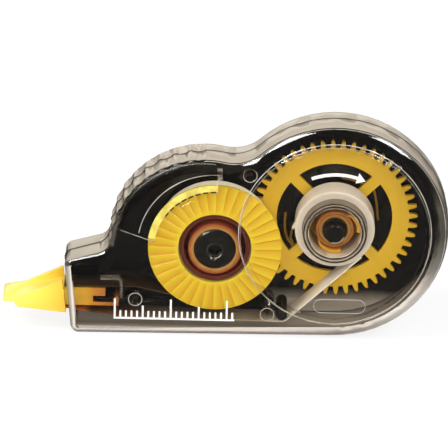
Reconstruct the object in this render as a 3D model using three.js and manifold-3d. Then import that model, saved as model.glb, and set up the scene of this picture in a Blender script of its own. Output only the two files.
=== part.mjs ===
// Correction tape dispenser, side application, 5 mm tape.
// Units are millimetres. X runs along the body (applicator tip at low X), Y is its thickness
// (clear front shell toward low Y), Z is up. The origin is under the middle of the whole object.
import * as THREE from 'three';
import { mergeVertices } from 'three/addons/utils/BufferGeometryUtils.js';
import Module from 'manifold-3d';

const wasm = await Module();
wasm.setup();

// Body outline, in side view, measured from the take-up axle
const AXLE_DISTANCE = 21.6; // between the two axles, along the slope
const AXLE_RISE = 3.75; // supply axle above take-up axle
const SUPPLY_LOBE_R = 20.2;
const TAKE_UP_LOBE_R = 16.8;
const TAKE_UP_LOBE_BACK = 2.05; // lobe centre behind the take-up axle
const TAKE_UP_LOBE_RISE = 0.55; // lobe centre above the take-up axle
const VALLEY_R = 6.8; // hollow between the lobes
const NOSE_HEIGHT = 13.8; // end of the nose's roof, above the base
const NOSE_LENGTH = 26.8; // end wall, ahead of the take-up axle
const NOSE_SLANT = 1.4; // end wall leans back by this at the base
const NOSE_THROAT_R = 2.6; // hollow between the lobe and the nose
const NOSE_CORNER_R = 1.4;
const NOSE_ROOF_RISE = 0.3; // rise of the roof per unit of length

// Body thickness, from the rear face forward
const PARTING_DEPTH = 5.2;
const WALL = 0.9;
const LENS_RISE = 1.2;
const LENS_R = 17.1;
const LENS_EDGE = 0.5;
const EDGE_ROUND = 2.4; // rounding of the outer edges on the two lobes
const NOSE_EDGE_ROUND = 1.1;
const EDGE_ROUND_LEAST = 0.3; // of an inner surface

// Finger grip on the take-up lobe
const GRIP_COUNT = 9;
const GRIP_PITCH = 2.9;
const GRIP_CUT_R = 2.6;
const GRIP_CUT_DEPTH = 0.42;
const GRIP_START_DEG = 94;
const GRIP_WINDOW_FROM_DEG = 87;
const GRIP_WINDOW_TO_DEG = 172;
const GRIP_WINDOW_INNER_R = 10.4;
const GRIP_WINDOW_DEPTH = 0.4;
const GRIP_WINDOW_EDGE = 1.6; // rim left outside the window

// Bent rib inside the front shell, over the fork. Corners by distance ahead of the take-up axle
// and height above the base.
const NOSE_RIB_PATH = [[-20.3, 10.35], [-17.1, 10.45], [-16.55, 9.7], [-16.5, 6.7]];
const NOSE_RIB_THICK = 0.5;
const NOSE_RIB_DEEP = 1.3; // below the front wall

// Tape
const TAPE_WIDTH = 5.0;
const TAPE_SHEET = 0.2;
const TAPE_ROLL_R = 7.1;
const USED_ROLL_R = 10.6;

// Gears
const SUPPLY_TEETH = 48;
const TAKE_UP_TEETH = 24;
const TOOTH_TOP = 0.45; // past the pitch circle
const TOOTH_BOTTOM = 1.05;
const TOOTH_TIP_WIDTH = 0.34;
const TOOTH_PITCH_WIDTH = 0.68;
const TOOTH_ROOT_WIDTH = 1.0;
const GEAR_THICK = 0.9;
const WINDOW_OUTER_R = 10.35;
const WINDOW_INNER_R = 5.0;
const SPOKE_WIDTH = 2.0;
const SPOKE_COUNT = 4;
const SPOKE_START_DEG = 45;

// Supply hub, from the axle outward
const SUPPLY_POST_R = 2.2;
const SUPPLY_TIP_R = 1.7;
const SUPPLY_TIP_LENGTH = 1.8;
const HUB_WALL = 0.55;
const CLUTCH_RING_WALL = 0.4;
const CLUTCH_ARM_ROOT = 0.25; // thickness of an arm where it leaves the ring
const CLUTCH_ARM_THICK = 0.65;
const CLUTCH_ARM_STEPS = 10;
const CLUTCH_ARM_SPANS = [[55, -62], [208, 78]]; // start and sweep of each arm, in degrees
const CORE_BORE_R = 4.65;
const CORE_WALL = 1.1;
const CORE_GROOVE_IN = 0.35; // from the bore to the groove in the core's face
const CORE_GROOVE_WIDE = 0.18;
const CORE_GROOVE_DEEP = 0.5;
const CORE_COLLAR = 1.9; // how far the core stands out of the roll's face
const CORE_FLANGE_R = 6.3;
const CORE_FLANGE_THICK = 0.35;

// Take-up hub, from the axle outward
const TAKE_UP_POST_R = 3.7;
const TAKE_UP_POST_BORE_R = 1.4;
const SLEEVE_WALL = 1.0;
const REEL_FLANGE_R = 8.6;
const DRUM_R = 6.3;
const DRUM_WALL = 0.8;
const DISC_R = 11.9;
const DISC_OPENING_R = 6.5;
const DISC_THICK = 0.55;
const DISC_CONE = 0.5; // rise of the disc's face from rim to opening
const DISC_FLUTES = 36;
const DISC_FLUTE_DEPTH = 0.3;
const DISC_RIM_FLAT = 0.5;
const DISC_SEAT = 0.35; // how far the drum enters the disc

// Clearances
const SHAFT_GAP = 0.08;
const SEAT_GAP = 0.3;
const FACE_GAP = 0.3;

// Snap pins and their sockets, places measured from the take-up axle
const PIN_R = 0.7;
const BOSS_R = 1.2;
const TOP_PIN_AHEAD = 6.0; // from the take-up axle, toward the supply axle
const TOP_PIN_UNDER_VALLEY = 2.4; // centre, under the floor of the valley
const LOW_PIN_AHEAD = 9.6;
const LOW_PIN_HEIGHT = 4.35; // above the base
const NOSE_PIN_BACK = 14.0;
const NOSE_PIN_UNDER_BLADE = 1.1; // centre, under the top of the blade's root
const PIN_REACH = 2.4; // how far a pin enters its socket

// Post that turns the fresh tape along the floor
const GUIDE_AHEAD = 12.2;
const GUIDE_HEIGHT = 3.55; // above the base
const GUIDE_R = 1.0;
const GUIDE_WRAP = 0.74; // turn of the tape round the post, in radians
const FLOOR_RUN_RISE = 0.4; // from the post to the fork
const NOSE_PIN_WRAP = 0.25; // turn of the spent backing over the nose pin, in radians

// Applicator
const TIP_REACH = 37.7; // blade edge ahead of the take-up axle
const TIP_HEIGHT = 5.6; // blade edge above the base
const TIP_EDGE = 0.5;
const TIP_WIDTH = 7.1;
const CHEEK_THICK = 0.9;
const CHEEK_TIP_BACK = 2.1; // cheek starts this far behind the blade edge
const CHEEK_TIP_R = 0.9;
const CHEEK_TOP_HEIGHT = 9.7;
const CHEEK_LOW_HEIGHT = 3.4;
const CHEEK_GAP_TO_NOSE = 0.35;
const CHEEK_LOW_LEAN = 0.55; // share of the nose's slant that the lower corner of the cheek follows
const BLADE_END_LEAN = 0.3; // share of the slant at the end of the wide blade
const CHEEK_TIP_FROM_DEG = 125;
const CHEEK_TIP_TO_DEG = 265;
const CHEEK_TIP_STEP_DEG = 20;
const BLADE_ROOT_TOP_HEIGHT = 7.8;
const BLADE_ROOT_LOW_HEIGHT = 4.4;
const NECK_WIDTH = 4.6;
const TAIL_LENGTH = 2.9; // from the nose's inner face to the fork
const FORK_LENGTH = 4.6; // of the lower arm
const FORK_UPPER_LENGTH = 2.2;
const FORK_HOOK_WIDTH = 0.7; // turned up at the end of the lower arm
const FORK_HOOK_RISE = 1.7; // above the arm's lower edge
const KEY_LENGTH = 3.2;
const KEY_HEIGHT = 1.0;
const KEY_RISE = 1.25; // centre of the key, above the lower edge of the neck
const MOUTH_CLEAR = 0.7;

// Facets
const ROUND_STEPS = 64;
const HOLE_STEPS = 24;
const SCALLOP_STEPS = 40;
const EDGE_STEPS = 3;
const ARC_STEP_DEG = 6;

const TAU = Math.PI * 2;
const RAD = Math.PI / 180;

// Places that follow from the sizes above
const AXLE_RUN = Math.sqrt(AXLE_DISTANCE ** 2 - AXLE_RISE ** 2);
const SUPPLY_AXLE = { x: AXLE_RUN, z: AXLE_RISE };
const TAKE_UP_AXLE = { x: 0, z: 0 };
const TAKE_UP_LOBE = { x: -TAKE_UP_LOBE_BACK, z: TAKE_UP_LOBE_RISE };
const BASE_Z = AXLE_RISE - SUPPLY_LOBE_R;
const NOSE_TOP_Z = BASE_Z + NOSE_HEIGHT;
const TIP_Z = BASE_Z + TIP_HEIGHT;
const CHEEK_TOP_Z = BASE_Z + CHEEK_TOP_HEIGHT;
const CHEEK_LOW_Z = BASE_Z + CHEEK_LOW_HEIGHT;
const BLADE_TOP_Z = BASE_Z + BLADE_ROOT_TOP_HEIGHT;
const BLADE_LOW_Z = BASE_Z + BLADE_ROOT_LOW_HEIGHT;
const LOW_PIN = { x: LOW_PIN_AHEAD, z: BASE_Z + LOW_PIN_HEIGHT };
const GUIDE = { x: GUIDE_AHEAD, z: BASE_Z + GUIDE_HEIGHT };
const NOSE_PIN = { x: -NOSE_PIN_BACK, z: BLADE_TOP_Z - NOSE_PIN_UNDER_BLADE };
const X_LOW = -TIP_REACH;
const X_HIGH = AXLE_RUN + SUPPLY_LOBE_R;
const MESH_ANGLE = Math.atan2(-AXLE_RISE, -AXLE_RUN); // from the supply axle to the take-up axle

const GEAR_BACK = WALL + FACE_GAP;
const GEAR_FRONT = GEAR_BACK + GEAR_THICK;
const CORE_BACK = GEAR_FRONT + FACE_GAP;
const TAPE_BACK = CORE_BACK + CORE_FLANGE_THICK;
const TAPE_FRONT = TAPE_BACK + TAPE_WIDTH;
const CORE_FRONT = TAPE_FRONT + CORE_COLLAR;
const DISC_BACK = TAPE_FRONT + FACE_GAP;
const FRONT_INNER = DISC_BACK + DISC_THICK + DISC_CONE + FACE_GAP;
const BODY_DEPTH = FRONT_INNER + WALL;
const TOTAL_DEPTH = BODY_DEPTH + LENS_RISE;
const LENS_INNER = TOTAL_DEPTH - WALL;
const TAPE_MIDDLE = (TAPE_BACK + TAPE_FRONT) / 2;

const PITCH_R = AXLE_DISTANCE / (SUPPLY_TEETH + TAKE_UP_TEETH);
const SUPPLY_PITCH_R = PITCH_R * SUPPLY_TEETH;
const TAKE_UP_PITCH_R = PITCH_R * TAKE_UP_TEETH;

// Geometry helpers: manifold solids in the working frame (x, depth, z), depth from the rear face

function solidFrom(geometry) {
  const bare = geometry.index ? geometry.toNonIndexed() : geometry.clone();
  bare.deleteAttribute('normal');
  bare.deleteAttribute('uv');
  const merged = mergeVertices(bare, 1e-5);
  const mesh = new wasm.Mesh({
    numProp: 3,
    vertProperties: new Float32Array(merged.attributes.position.array),
    triVerts: new Uint32Array(merged.index.array),
  });
  return new wasm.Manifold(mesh);
}

// Prism of a closed side-view outline (list of [x, z]) between two depths
function prism(outline, fromDepth, toDepth, holes = []) {
  const shape = new THREE.Shape(outline.map(([x, z]) => new THREE.Vector2(x, z)));
  for (const hole of holes) {
    shape.holes.push(new THREE.Path(hole.map(([x, z]) => new THREE.Vector2(x, z))));
  }
  const options = { depth: toDepth - fromDepth, bevelEnabled: false };
  const geometry = new THREE.ExtrudeGeometry(shape, options);
  geometry.translate(0, 0, -toDepth);
  geometry.rotateX(Math.PI / 2);
  return solidFrom(geometry);
}

// Turned solid about an axle. The profile is a list of [radius, depth], closed on itself.
function turned(profile, centre, steps = ROUND_STEPS) {
  const closed = [...profile, profile[0]];
  const points = closed.map(([radius, depth]) => new THREE.Vector2(radius, depth));
  const geometry = new THREE.LatheGeometry(points, steps);
  geometry.translate(centre.x, 0, centre.z);
  return oriented(solidFrom(geometry), geometry);
}

// A profile drawn the other way round gives an inside-out solid, so its triangles are flipped
function oriented(solid, geometry) {
  if (solid.volume() > 0) {
    return solid;
  }
  const index = geometry.index.array;
  for (let i = 0; i < index.length; i += 3) {
    const first = index[i];
    index[i] = index[i + 1];
    index[i + 1] = first;
  }
  return solidFrom(geometry);
}

function ring(innerR, outerR, fromDepth, toDepth, centre, steps = ROUND_STEPS) {
  const profile = [
    [innerR, fromDepth],
    [outerR, fromDepth],
    [outerR, toDepth],
    [innerR, toDepth],
  ];
  return turned(profile, centre, steps);
}

function rod(radius, fromDepth, toDepth, centre, steps = HOLE_STEPS) {
  return prism(circle(radius, centre, steps), fromDepth, toDepth);
}

function circle(radius, centre, steps = HOLE_STEPS) {
  const points = [];
  for (let i = 0; i < steps; i++) {
    const angle = (TAU * i) / steps;
    points.push([centre.x + radius * Math.cos(angle), centre.z + radius * Math.sin(angle)]);
  }
  return points;
}

function arc(centre, radius, fromDeg, toDeg, stepDeg = ARC_STEP_DEG) {
  const count = Math.max(2, Math.ceil(Math.abs(toDeg - fromDeg) / stepDeg));
  const points = [];
  for (let i = 0; i <= count; i++) {
    const angle = (fromDeg + ((toDeg - fromDeg) * i) / count) * RAD;
    points.push([centre.x + radius * Math.cos(angle), centre.z + radius * Math.sin(angle)]);
  }
  return points;
}

// Body outline

// Centre of the arc of radius r that touches two circles from outside, above them
function hollowBetween(first, firstR, second, secondR, radius) {
  const a = firstR + radius;
  const b = secondR + radius;
  const dx = second.x - first.x;
  const dz = second.z - first.z;
  const d = Math.hypot(dx, dz);
  const along = (a * a - b * b + d * d) / (2 * d);
  const up = Math.sqrt(a * a - along * along);
  const left = dx < 0 ? -1 : 1;
  return {
    x: first.x + (along * dx) / d - (left * up * dz) / d,
    z: first.z + (along * dz) / d + (left * up * dx) / d,
  };
}

function angleDeg(from, to) {
  return Math.atan2(to.z - from.z, to.x - from.x) / RAD;
}

function valleyCentre() {
  return hollowBetween(TAKE_UP_LOBE, TAKE_UP_LOBE_R, SUPPLY_AXLE, SUPPLY_LOBE_R, VALLEY_R);
}

function valleyFloor() {
  return valleyCentre().z - VALLEY_R;
}

// Outline as points with their outward normals, going round against the clock in side view.
// Every arc knows its own normals, so that an offset outline stays parallel.
function bodyOutline() {
  const lobe = TAKE_UP_LOBE;
  const valley = valleyCentre();
  const points = [];
  const addArc = (centre, radius, fromDeg, toDeg, hollow = false) => {
    const run = arc(centre, radius, fromDeg, toDeg);
    for (const [x, z] of run) {
      const sign = hollow ? -1 : 1;
      const nx = (sign * (x - centre.x)) / radius;
      const nz = (sign * (z - centre.z)) / radius;
      points.push({ x, z, nx, nz });
    }
  };
  // Supply lobe, from the base round to the valley
  const toValley = angleDeg(SUPPLY_AXLE, valley);
  addArc(SUPPLY_AXLE, SUPPLY_LOBE_R, -90, toValley);
  // Valley, hollow
  const fromSupply = toValley - 180;
  const fromLobe = angleDeg(valley, lobe);
  addArc(valley, VALLEY_R, fromSupply, fromLobe, true);
  // Take-up lobe, down to the throat over the nose
  const roofAngle = Math.atan(NOSE_ROOF_RISE) / RAD;
  const throat = throatCentre(lobe);
  const lobeStart = angleDeg(lobe, valley);
  const toThroat = (angleDeg(lobe, throat) + 360) % 360;
  addArc(lobe, TAKE_UP_LOBE_R, lobeStart, toThroat);
  // Throat, hollow, turning into the sloping roof of the nose
  addArc(throat, NOSE_THROAT_R, toThroat - 180, -90 + roofAngle, true);
  // Upper corner of the nose, then the end wall, then the lower corner
  const wallAngle = Math.atan2(NOSE_SLANT, NOSE_HEIGHT) / RAD;
  const upper = noseCorner();
  addArc(upper, NOSE_CORNER_R, 90 + roofAngle, 180 + wallAngle);
  const lowerX = -NOSE_LENGTH + NOSE_SLANT + NOSE_CORNER_R / Math.cos(wallAngle * RAD);
  const lowerRise = BASE_Z + NOSE_CORNER_R;
  const lower = { x: lowerX - Math.tan(wallAngle * RAD) * NOSE_CORNER_R, z: lowerRise };
  addArc(lower, NOSE_CORNER_R, 180 + wallAngle, 270);
  return points;
}

// The roof line rises from the nose's end; the throat arc touches it and the lobe
function throatCentre(lobe) {
  const roof = Math.atan(NOSE_ROOF_RISE);
  const reach = TAKE_UP_LOBE_R + NOSE_THROAT_R;
  // Signed height of the lobe's centre over a line raised from the roof by the throat's radius
  const nx = -Math.sin(roof);
  const nz = Math.cos(roof);
  const endX = -NOSE_LENGTH;
  const endZ = NOSE_TOP_Z;
  const height = (lobe.x - endX) * nx + (lobe.z - endZ) * nz - NOSE_THROAT_R;
  const along = Math.sqrt(reach * reach - height * height);
  return {
    x: lobe.x - height * nx - along * Math.cos(roof),
    z: lobe.z - height * nz - along * Math.sin(roof),
  };
}

function noseCorner() {
  const roof = Math.atan(NOSE_ROOF_RISE);
  const wall = Math.atan2(NOSE_SLANT, NOSE_HEIGHT);
  // Intersection of the roof and the end wall, both moved inward by the corner radius
  const roofX = -NOSE_LENGTH + NOSE_CORNER_R * Math.sin(roof);
  const roofZ = NOSE_TOP_Z - NOSE_CORNER_R * Math.cos(roof);
  const wallX = -NOSE_LENGTH + NOSE_CORNER_R * Math.cos(wall);
  const wallZ = NOSE_TOP_Z + NOSE_CORNER_R * Math.sin(wall);
  const t = (wallX - roofX + Math.tan(wall) * (wallZ - roofZ))
    / (Math.cos(roof) + Math.tan(wall) * Math.sin(roof));
  return { x: roofX + t * Math.cos(roof), z: roofZ + t * Math.sin(roof) };
}

const OUTLINE = bodyOutline();
const TOP_PIN = { x: TOP_PIN_AHEAD, z: valleyFloor() - TOP_PIN_UNDER_VALLEY };
const PINS = [TOP_PIN, LOW_PIN, NOSE_PIN];

// Rounding of the outer edge: full on the lobes, smaller along the nose
function edgeRoundAt(x) {
  const from = -NOSE_LENGTH + NOSE_SLANT;
  const to = -TAKE_UP_LOBE_BACK - TAKE_UP_LOBE_R / 2;
  const t = Math.min(1, Math.max(0, (x - from) / (to - from)));
  const smooth = t * t * (3 - 2 * t);
  return NOSE_EDGE_ROUND + (EDGE_ROUND - NOSE_EDGE_ROUND) * smooth;
}

// Lofted blank of the body, inset by a wall, from a face depth to an open depth.
// direction is 1 when the rounded face is at the rear and -1 when it is at the front.
function blank(inset, faceDepth, openDepth, direction) {
  const rings = [];
  for (let k = 0; k <= EDGE_STEPS; k++) {
    const angle = (Math.PI / 2) * (k / EDGE_STEPS);
    rings.push(OUTLINE.map((point) => {
      const round = Math.max(EDGE_ROUND_LEAST, edgeRoundAt(point.x) - inset);
      const pull = inset + round * (1 - Math.sin(angle));
      const depth = faceDepth + direction * round * (1 - Math.cos(angle));
      return [point.x - point.nx * pull, depth, point.z - point.nz * pull];
    }));
  }
  rings.push(OUTLINE.map((p) => [p.x - p.nx * inset, openDepth, p.z - p.nz * inset]));
  return loft(rings, direction);
}

// Solid through a stack of rings with equal point counts
function loft(rings, direction) {
  const count = rings[0].length;
  const vertices = rings.flat(2);
  const triangles = [];
  const add = (a, b, c) => triangles.push(...(direction > 0 ? [a, b, c] : [a, c, b]));
  for (let k = 0; k + 1 < rings.length; k++) {
    for (let i = 0; i < count; i++) {
      const j = (i + 1) % count;
      const low = k * count;
      const high = low + count;
      add(low + i, high + i, high + j);
      add(low + i, high + j, low + j);
    }
  }
  const capOf = (ring) => THREE.ShapeUtils.triangulateShape(
    ring.map(([x, , z]) => new THREE.Vector2(x, z)), []);
  const last = (rings.length - 1) * count;
  for (const [a, b, c] of capOf(rings[0])) {
    add(a, b, c);
  }
  for (const [a, b, c] of capOf(rings[rings.length - 1])) {
    add(last + a, last + c, last + b);
  }
  const geometry = new THREE.BufferGeometry();
  geometry.setAttribute('position', new THREE.Float32BufferAttribute(vertices, 3));
  geometry.setIndex(triangles);
  return solidFrom(geometry);
}

// Finger grip: shallow scallops across the whole thickness of the take-up lobe's wall
function gripCutters() {
  const lobe = TAKE_UP_LOBE;
  const stepDeg = GRIP_PITCH / TAKE_UP_LOBE_R / RAD;
  const reach = TAKE_UP_LOBE_R + GRIP_CUT_R - GRIP_CUT_DEPTH;
  const cutters = [];
  for (let i = 0; i < GRIP_COUNT; i++) {
    const angle = (GRIP_START_DEG + i * stepDeg) * RAD;
    const centre = { x: lobe.x + reach * Math.cos(angle), z: lobe.z + reach * Math.sin(angle) };
    cutters.push(rod(GRIP_CUT_R, -1, TOTAL_DEPTH + 1, centre, SCALLOP_STEPS));
  }
  return cutters;
}

// Opening of the nose that the applicator's neck passes through
function mouthCutter() {
  const low = CHEEK_LOW_Z;
  const high = CHEEK_TOP_Z;
  const half = NECK_WIDTH / 2 + MOUTH_CLEAR;
  const outline = [
    [-NOSE_LENGTH - WALL, low],
    [-NOSE_LENGTH + NOSE_SLANT + 2 * WALL, low],
    [-NOSE_LENGTH + NOSE_SLANT + 2 * WALL, high],
    [-NOSE_LENGTH - WALL, high],
  ];
  return prism(outline, TAPE_MIDDLE - half, TAPE_MIDDLE + half);
}

function rearShell() {
  let body = blank(0, 0, PARTING_DEPTH, 1);
  body = body.subtract(blank(WALL, WALL, PARTING_DEPTH + 1, 1));
  for (const cutter of gripCutters()) {
    body = body.subtract(cutter);
  }
  body = body.subtract(mouthCutter());
  // Axle posts: the supply post steps down to a tip that the lens supports
  const tipFrom = LENS_INNER - SEAT_GAP - SUPPLY_TIP_LENGTH;
  const supplyPost = rod(SUPPLY_POST_R, WALL / 2, tipFrom, SUPPLY_AXLE);
  const supplyTip = rod(SUPPLY_TIP_R, tipFrom - 1, LENS_INNER - SEAT_GAP, SUPPLY_AXLE);
  const postEnd = FRONT_INNER - SEAT_GAP;
  const post = rod(TAKE_UP_POST_R, WALL / 2, postEnd, TAKE_UP_AXLE, ROUND_STEPS);
  const bore = rod(TAKE_UP_POST_BORE_R, postEnd - PIN_REACH, postEnd + 1, TAKE_UP_AXLE);
  body = body.add(supplyPost).add(supplyTip).add(post).subtract(bore);
  // Snap pins, and the key that holds the applicator's fork
  for (const place of PINS) {
    const collar = rod(BOSS_R, WALL / 2, PARTING_DEPTH, place);
    const pin = rod(PIN_R, PARTING_DEPTH - 1, PARTING_DEPTH + PIN_REACH, place);
    body = body.add(collar).add(pin);
  }
  body = body.add(rod(GUIDE_R, WALL / 2, TAPE_FRONT + FACE_GAP, GUIDE));
  return body.add(forkKey());
}

// Places along the applicator's neck
const NOSE_INNER_X = -NOSE_LENGTH + NOSE_SLANT + WALL;
const FORK_X = NOSE_INNER_X + TAIL_LENGTH;
const KEY_Z = BLADE_LOW_Z + KEY_RISE;

// Flat key on the rear shell that the fork clips over
function forkKey() {
  const low = KEY_Z - KEY_HEIGHT / 2;
  const high = KEY_Z + KEY_HEIGHT / 2;
  const from = FORK_X + SEAT_GAP;
  const outline = [[from, low], [from + KEY_LENGTH, low], [from + KEY_LENGTH, high], [from, high]];
  return prism(outline, WALL / 2, TAPE_MIDDLE + NECK_WIDTH / 2);
}

function frontShell() {
  let body = blank(0, BODY_DEPTH, PARTING_DEPTH, -1);
  const lens = [
    [0, BODY_DEPTH - WALL],
    [LENS_R, BODY_DEPTH - WALL],
    [LENS_R, TOTAL_DEPTH - LENS_EDGE],
    [LENS_R - LENS_EDGE, TOTAL_DEPTH],
    [0, TOTAL_DEPTH],
  ];
  body = body.add(turned(lens, SUPPLY_AXLE));
  body = body.subtract(blank(WALL, FRONT_INNER, PARTING_DEPTH - 1, -1));
  body = body.subtract(rod(LENS_R - WALL, PARTING_DEPTH, LENS_INNER, SUPPLY_AXLE, ROUND_STEPS));
  for (const cutter of gripCutters()) {
    body = body.subtract(cutter);
  }
  body = body.subtract(mouthCutter()).subtract(gripWindowCutter());
  // Sockets for the snap pins, and the pin that centres the take-up post
  for (const place of PINS) {
    const socket = rod(BOSS_R, PARTING_DEPTH + SEAT_GAP, BODY_DEPTH - WALL / 2, place);
    const bore = rod(PIN_R + SHAFT_GAP, PARTING_DEPTH, PARTING_DEPTH + PIN_REACH + SEAT_GAP, place);
    body = body.add(socket).subtract(bore);
  }
  const centrePin = rod(TAKE_UP_POST_BORE_R - SHAFT_GAP, FRONT_INNER - PIN_REACH + SEAT_GAP,
    BODY_DEPTH - WALL / 2, TAKE_UP_AXLE);
  const ribPath = NOSE_RIB_PATH.map(([x, height]) => [x, BASE_Z + height]);
  const rib = prism(stripOutline(ribPath, NOSE_RIB_THICK), FRONT_INNER - NOSE_RIB_DEEP,
    BODY_DEPTH - WALL / 2);
  return body.add(centrePin).add(rib);
}

// Shallow sunk sector over the take-up disc, beside the finger grip
function gripWindowCutter() {
  const outerR = TAKE_UP_LOBE_R - EDGE_ROUND - GRIP_WINDOW_EDGE + TAKE_UP_LOBE_BACK / 2;
  const out = arc(TAKE_UP_AXLE, outerR, GRIP_WINDOW_FROM_DEG, GRIP_WINDOW_TO_DEG);
  const back = arc(TAKE_UP_AXLE, GRIP_WINDOW_INNER_R, GRIP_WINDOW_TO_DEG, GRIP_WINDOW_FROM_DEG);
  return prism([...out, ...back], BODY_DEPTH - GRIP_WINDOW_DEPTH, BODY_DEPTH + 1);
}

// Toothed outline, with one tooth centred on startAngle
function gearOutline(centre, teeth, pitchR, startAngle) {
  const levels = [
    [pitchR - TOOTH_BOTTOM, TOOTH_ROOT_WIDTH],
    [pitchR, TOOTH_PITCH_WIDTH],
    [pitchR + TOOTH_TOP, TOOTH_TIP_WIDTH],
  ];
  const points = [];
  for (let i = 0; i < teeth; i++) {
    const middle = startAngle + (TAU * i) / teeth;
    const rising = levels.map(([radius, width]) => [radius, middle - width / 2 / radius]);
    const falling = levels.map(([radius, width]) => [radius, middle + width / 2 / radius]).reverse();
    for (const [radius, angle] of [...rising, ...falling]) {
      points.push([centre.x + radius * Math.cos(angle), centre.z + radius * Math.sin(angle)]);
    }
  }
  return points;
}

// One window between two spokes
function gearWindow(centre, index) {
  const step = 360 / SPOKE_COUNT;
  const fromDeg = SPOKE_START_DEG + index * step;
  const outerGap = SPOKE_WIDTH / 2 / WINDOW_OUTER_R / RAD;
  const innerGap = SPOKE_WIDTH / 2 / WINDOW_INNER_R / RAD;
  return [
    ...arc(centre, WINDOW_OUTER_R, fromDeg + outerGap, fromDeg + step - outerGap),
    ...arc(centre, WINDOW_INNER_R, fromDeg + step - innerGap, fromDeg + innerGap),
  ];
}

const HUB_BORE_R = SUPPLY_POST_R + SHAFT_GAP;
const HUB_R = HUB_BORE_R + HUB_WALL;
const HUB_FRONT = TAPE_FRONT;

function supplyGear() {
  const outline = gearOutline(SUPPLY_AXLE, SUPPLY_TEETH, SUPPLY_PITCH_R, MESH_ANGLE);
  let gear = prism(outline, GEAR_BACK, GEAR_FRONT);
  for (let i = 0; i < SPOKE_COUNT; i++) {
    gear = gear.subtract(prism(gearWindow(SUPPLY_AXLE, i), GEAR_BACK - 1, GEAR_FRONT + 1));
  }
  gear = gear.add(ring(HUB_BORE_R, HUB_R, GEAR_BACK, HUB_FRONT, SUPPLY_AXLE));
  return gear.subtract(rod(HUB_BORE_R, GEAR_BACK - 1, HUB_FRONT + 1, SUPPLY_AXLE, ROUND_STEPS));
}

// Slip clutch: a split ring on the gear's hub with spring arms that rub the core's bore
function clutchSpring() {
  const innerR = HUB_R + SHAFT_GAP;
  const ringR = innerR + CLUTCH_RING_WALL;
  const reach = CORE_BORE_R - SHAFT_GAP;
  const from = CORE_BACK;
  let spring = ring(innerR, ringR, from, HUB_FRONT, SUPPLY_AXLE);
  for (const [start, sweep] of CLUTCH_ARM_SPANS) {
    spring = spring.add(prism(clutchArm(start, sweep, ringR, reach), from, HUB_FRONT));
  }
  return spring;
}

// Arm that leaves the ring, swings out to the bore and follows it
function clutchArm(startDeg, sweepDeg, fromR, toR) {
  const outer = [];
  const inner = [];
  for (let i = 0; i <= CLUTCH_ARM_STEPS; i++) {
    const t = i / CLUTCH_ARM_STEPS;
    const angle = (startDeg + sweepDeg * t) * RAD;
    const radius = fromR + (toR - fromR) * (1 - (1 - t) ** 3);
    const wall = CLUTCH_ARM_ROOT + (CLUTCH_ARM_THICK - CLUTCH_ARM_ROOT) * Math.min(1, 2 * t);
    outer.push([SUPPLY_AXLE.x + radius * Math.cos(angle), SUPPLY_AXLE.z + radius * Math.sin(angle)]);
    inner.push([
      SUPPLY_AXLE.x + (radius - wall) * Math.cos(angle),
      SUPPLY_AXLE.z + (radius - wall) * Math.sin(angle),
    ]);
  }
  return [...outer, ...inner.reverse()];
}

function tapeCore() {
  const drumR = CORE_BORE_R + CORE_WALL;
  const grooveR = CORE_BORE_R + CORE_GROOVE_IN;
  const profile = [
    [CORE_BORE_R, CORE_BACK],
    [CORE_FLANGE_R, CORE_BACK],
    [CORE_FLANGE_R, TAPE_BACK],
    [drumR, TAPE_BACK],
    [drumR, CORE_FRONT],
    [grooveR + CORE_GROOVE_WIDE, CORE_FRONT],
    [grooveR + CORE_GROOVE_WIDE, CORE_FRONT - CORE_GROOVE_DEEP],
    [grooveR, CORE_FRONT - CORE_GROOVE_DEEP],
    [grooveR, CORE_FRONT],
    [CORE_BORE_R, CORE_FRONT],
  ];
  return turned(profile, SUPPLY_AXLE);
}

function tapeRoll() {
  const innerR = CORE_BORE_R + CORE_WALL + SHAFT_GAP;
  return ring(innerR, TAPE_ROLL_R, TAPE_BACK + SHAFT_GAP, TAPE_FRONT, SUPPLY_AXLE);
}

// Take-up reel: pinion, rear flange and drum in one piece on the wide post
function takeUpReel() {
  const centre = TAKE_UP_AXLE;
  const boreR = TAKE_UP_POST_R + SHAFT_GAP;
  const sleeveR = boreR + SLEEVE_WALL;
  const start = MESH_ANGLE + Math.PI + Math.PI / TAKE_UP_TEETH;
  const pinion = prism(gearOutline(centre, TAKE_UP_TEETH, TAKE_UP_PITCH_R, start),
    GEAR_BACK, GEAR_FRONT);
  const flange = rod(REEL_FLANGE_R, GEAR_FRONT, TAPE_BACK - SHAFT_GAP, centre, ROUND_STEPS);
  const sleeve = rod(sleeveR, GEAR_FRONT - GEAR_THICK / 2, FRONT_INNER - FACE_GAP, centre, ROUND_STEPS);
  const drum = ring(DRUM_R - DRUM_WALL, DRUM_R, GEAR_FRONT, DISC_BACK + DISC_SEAT, centre);
  const bore = rod(boreR, 0, TOTAL_DEPTH, centre, ROUND_STEPS);
  return pinion.add(flange).add(sleeve).add(drum).subtract(bore);
}

function usedTapeRoll() {
  return ring(DRUM_R + SHAFT_GAP, USED_ROLL_R, TAPE_BACK, TAPE_FRONT, TAKE_UP_AXLE);
}

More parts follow.
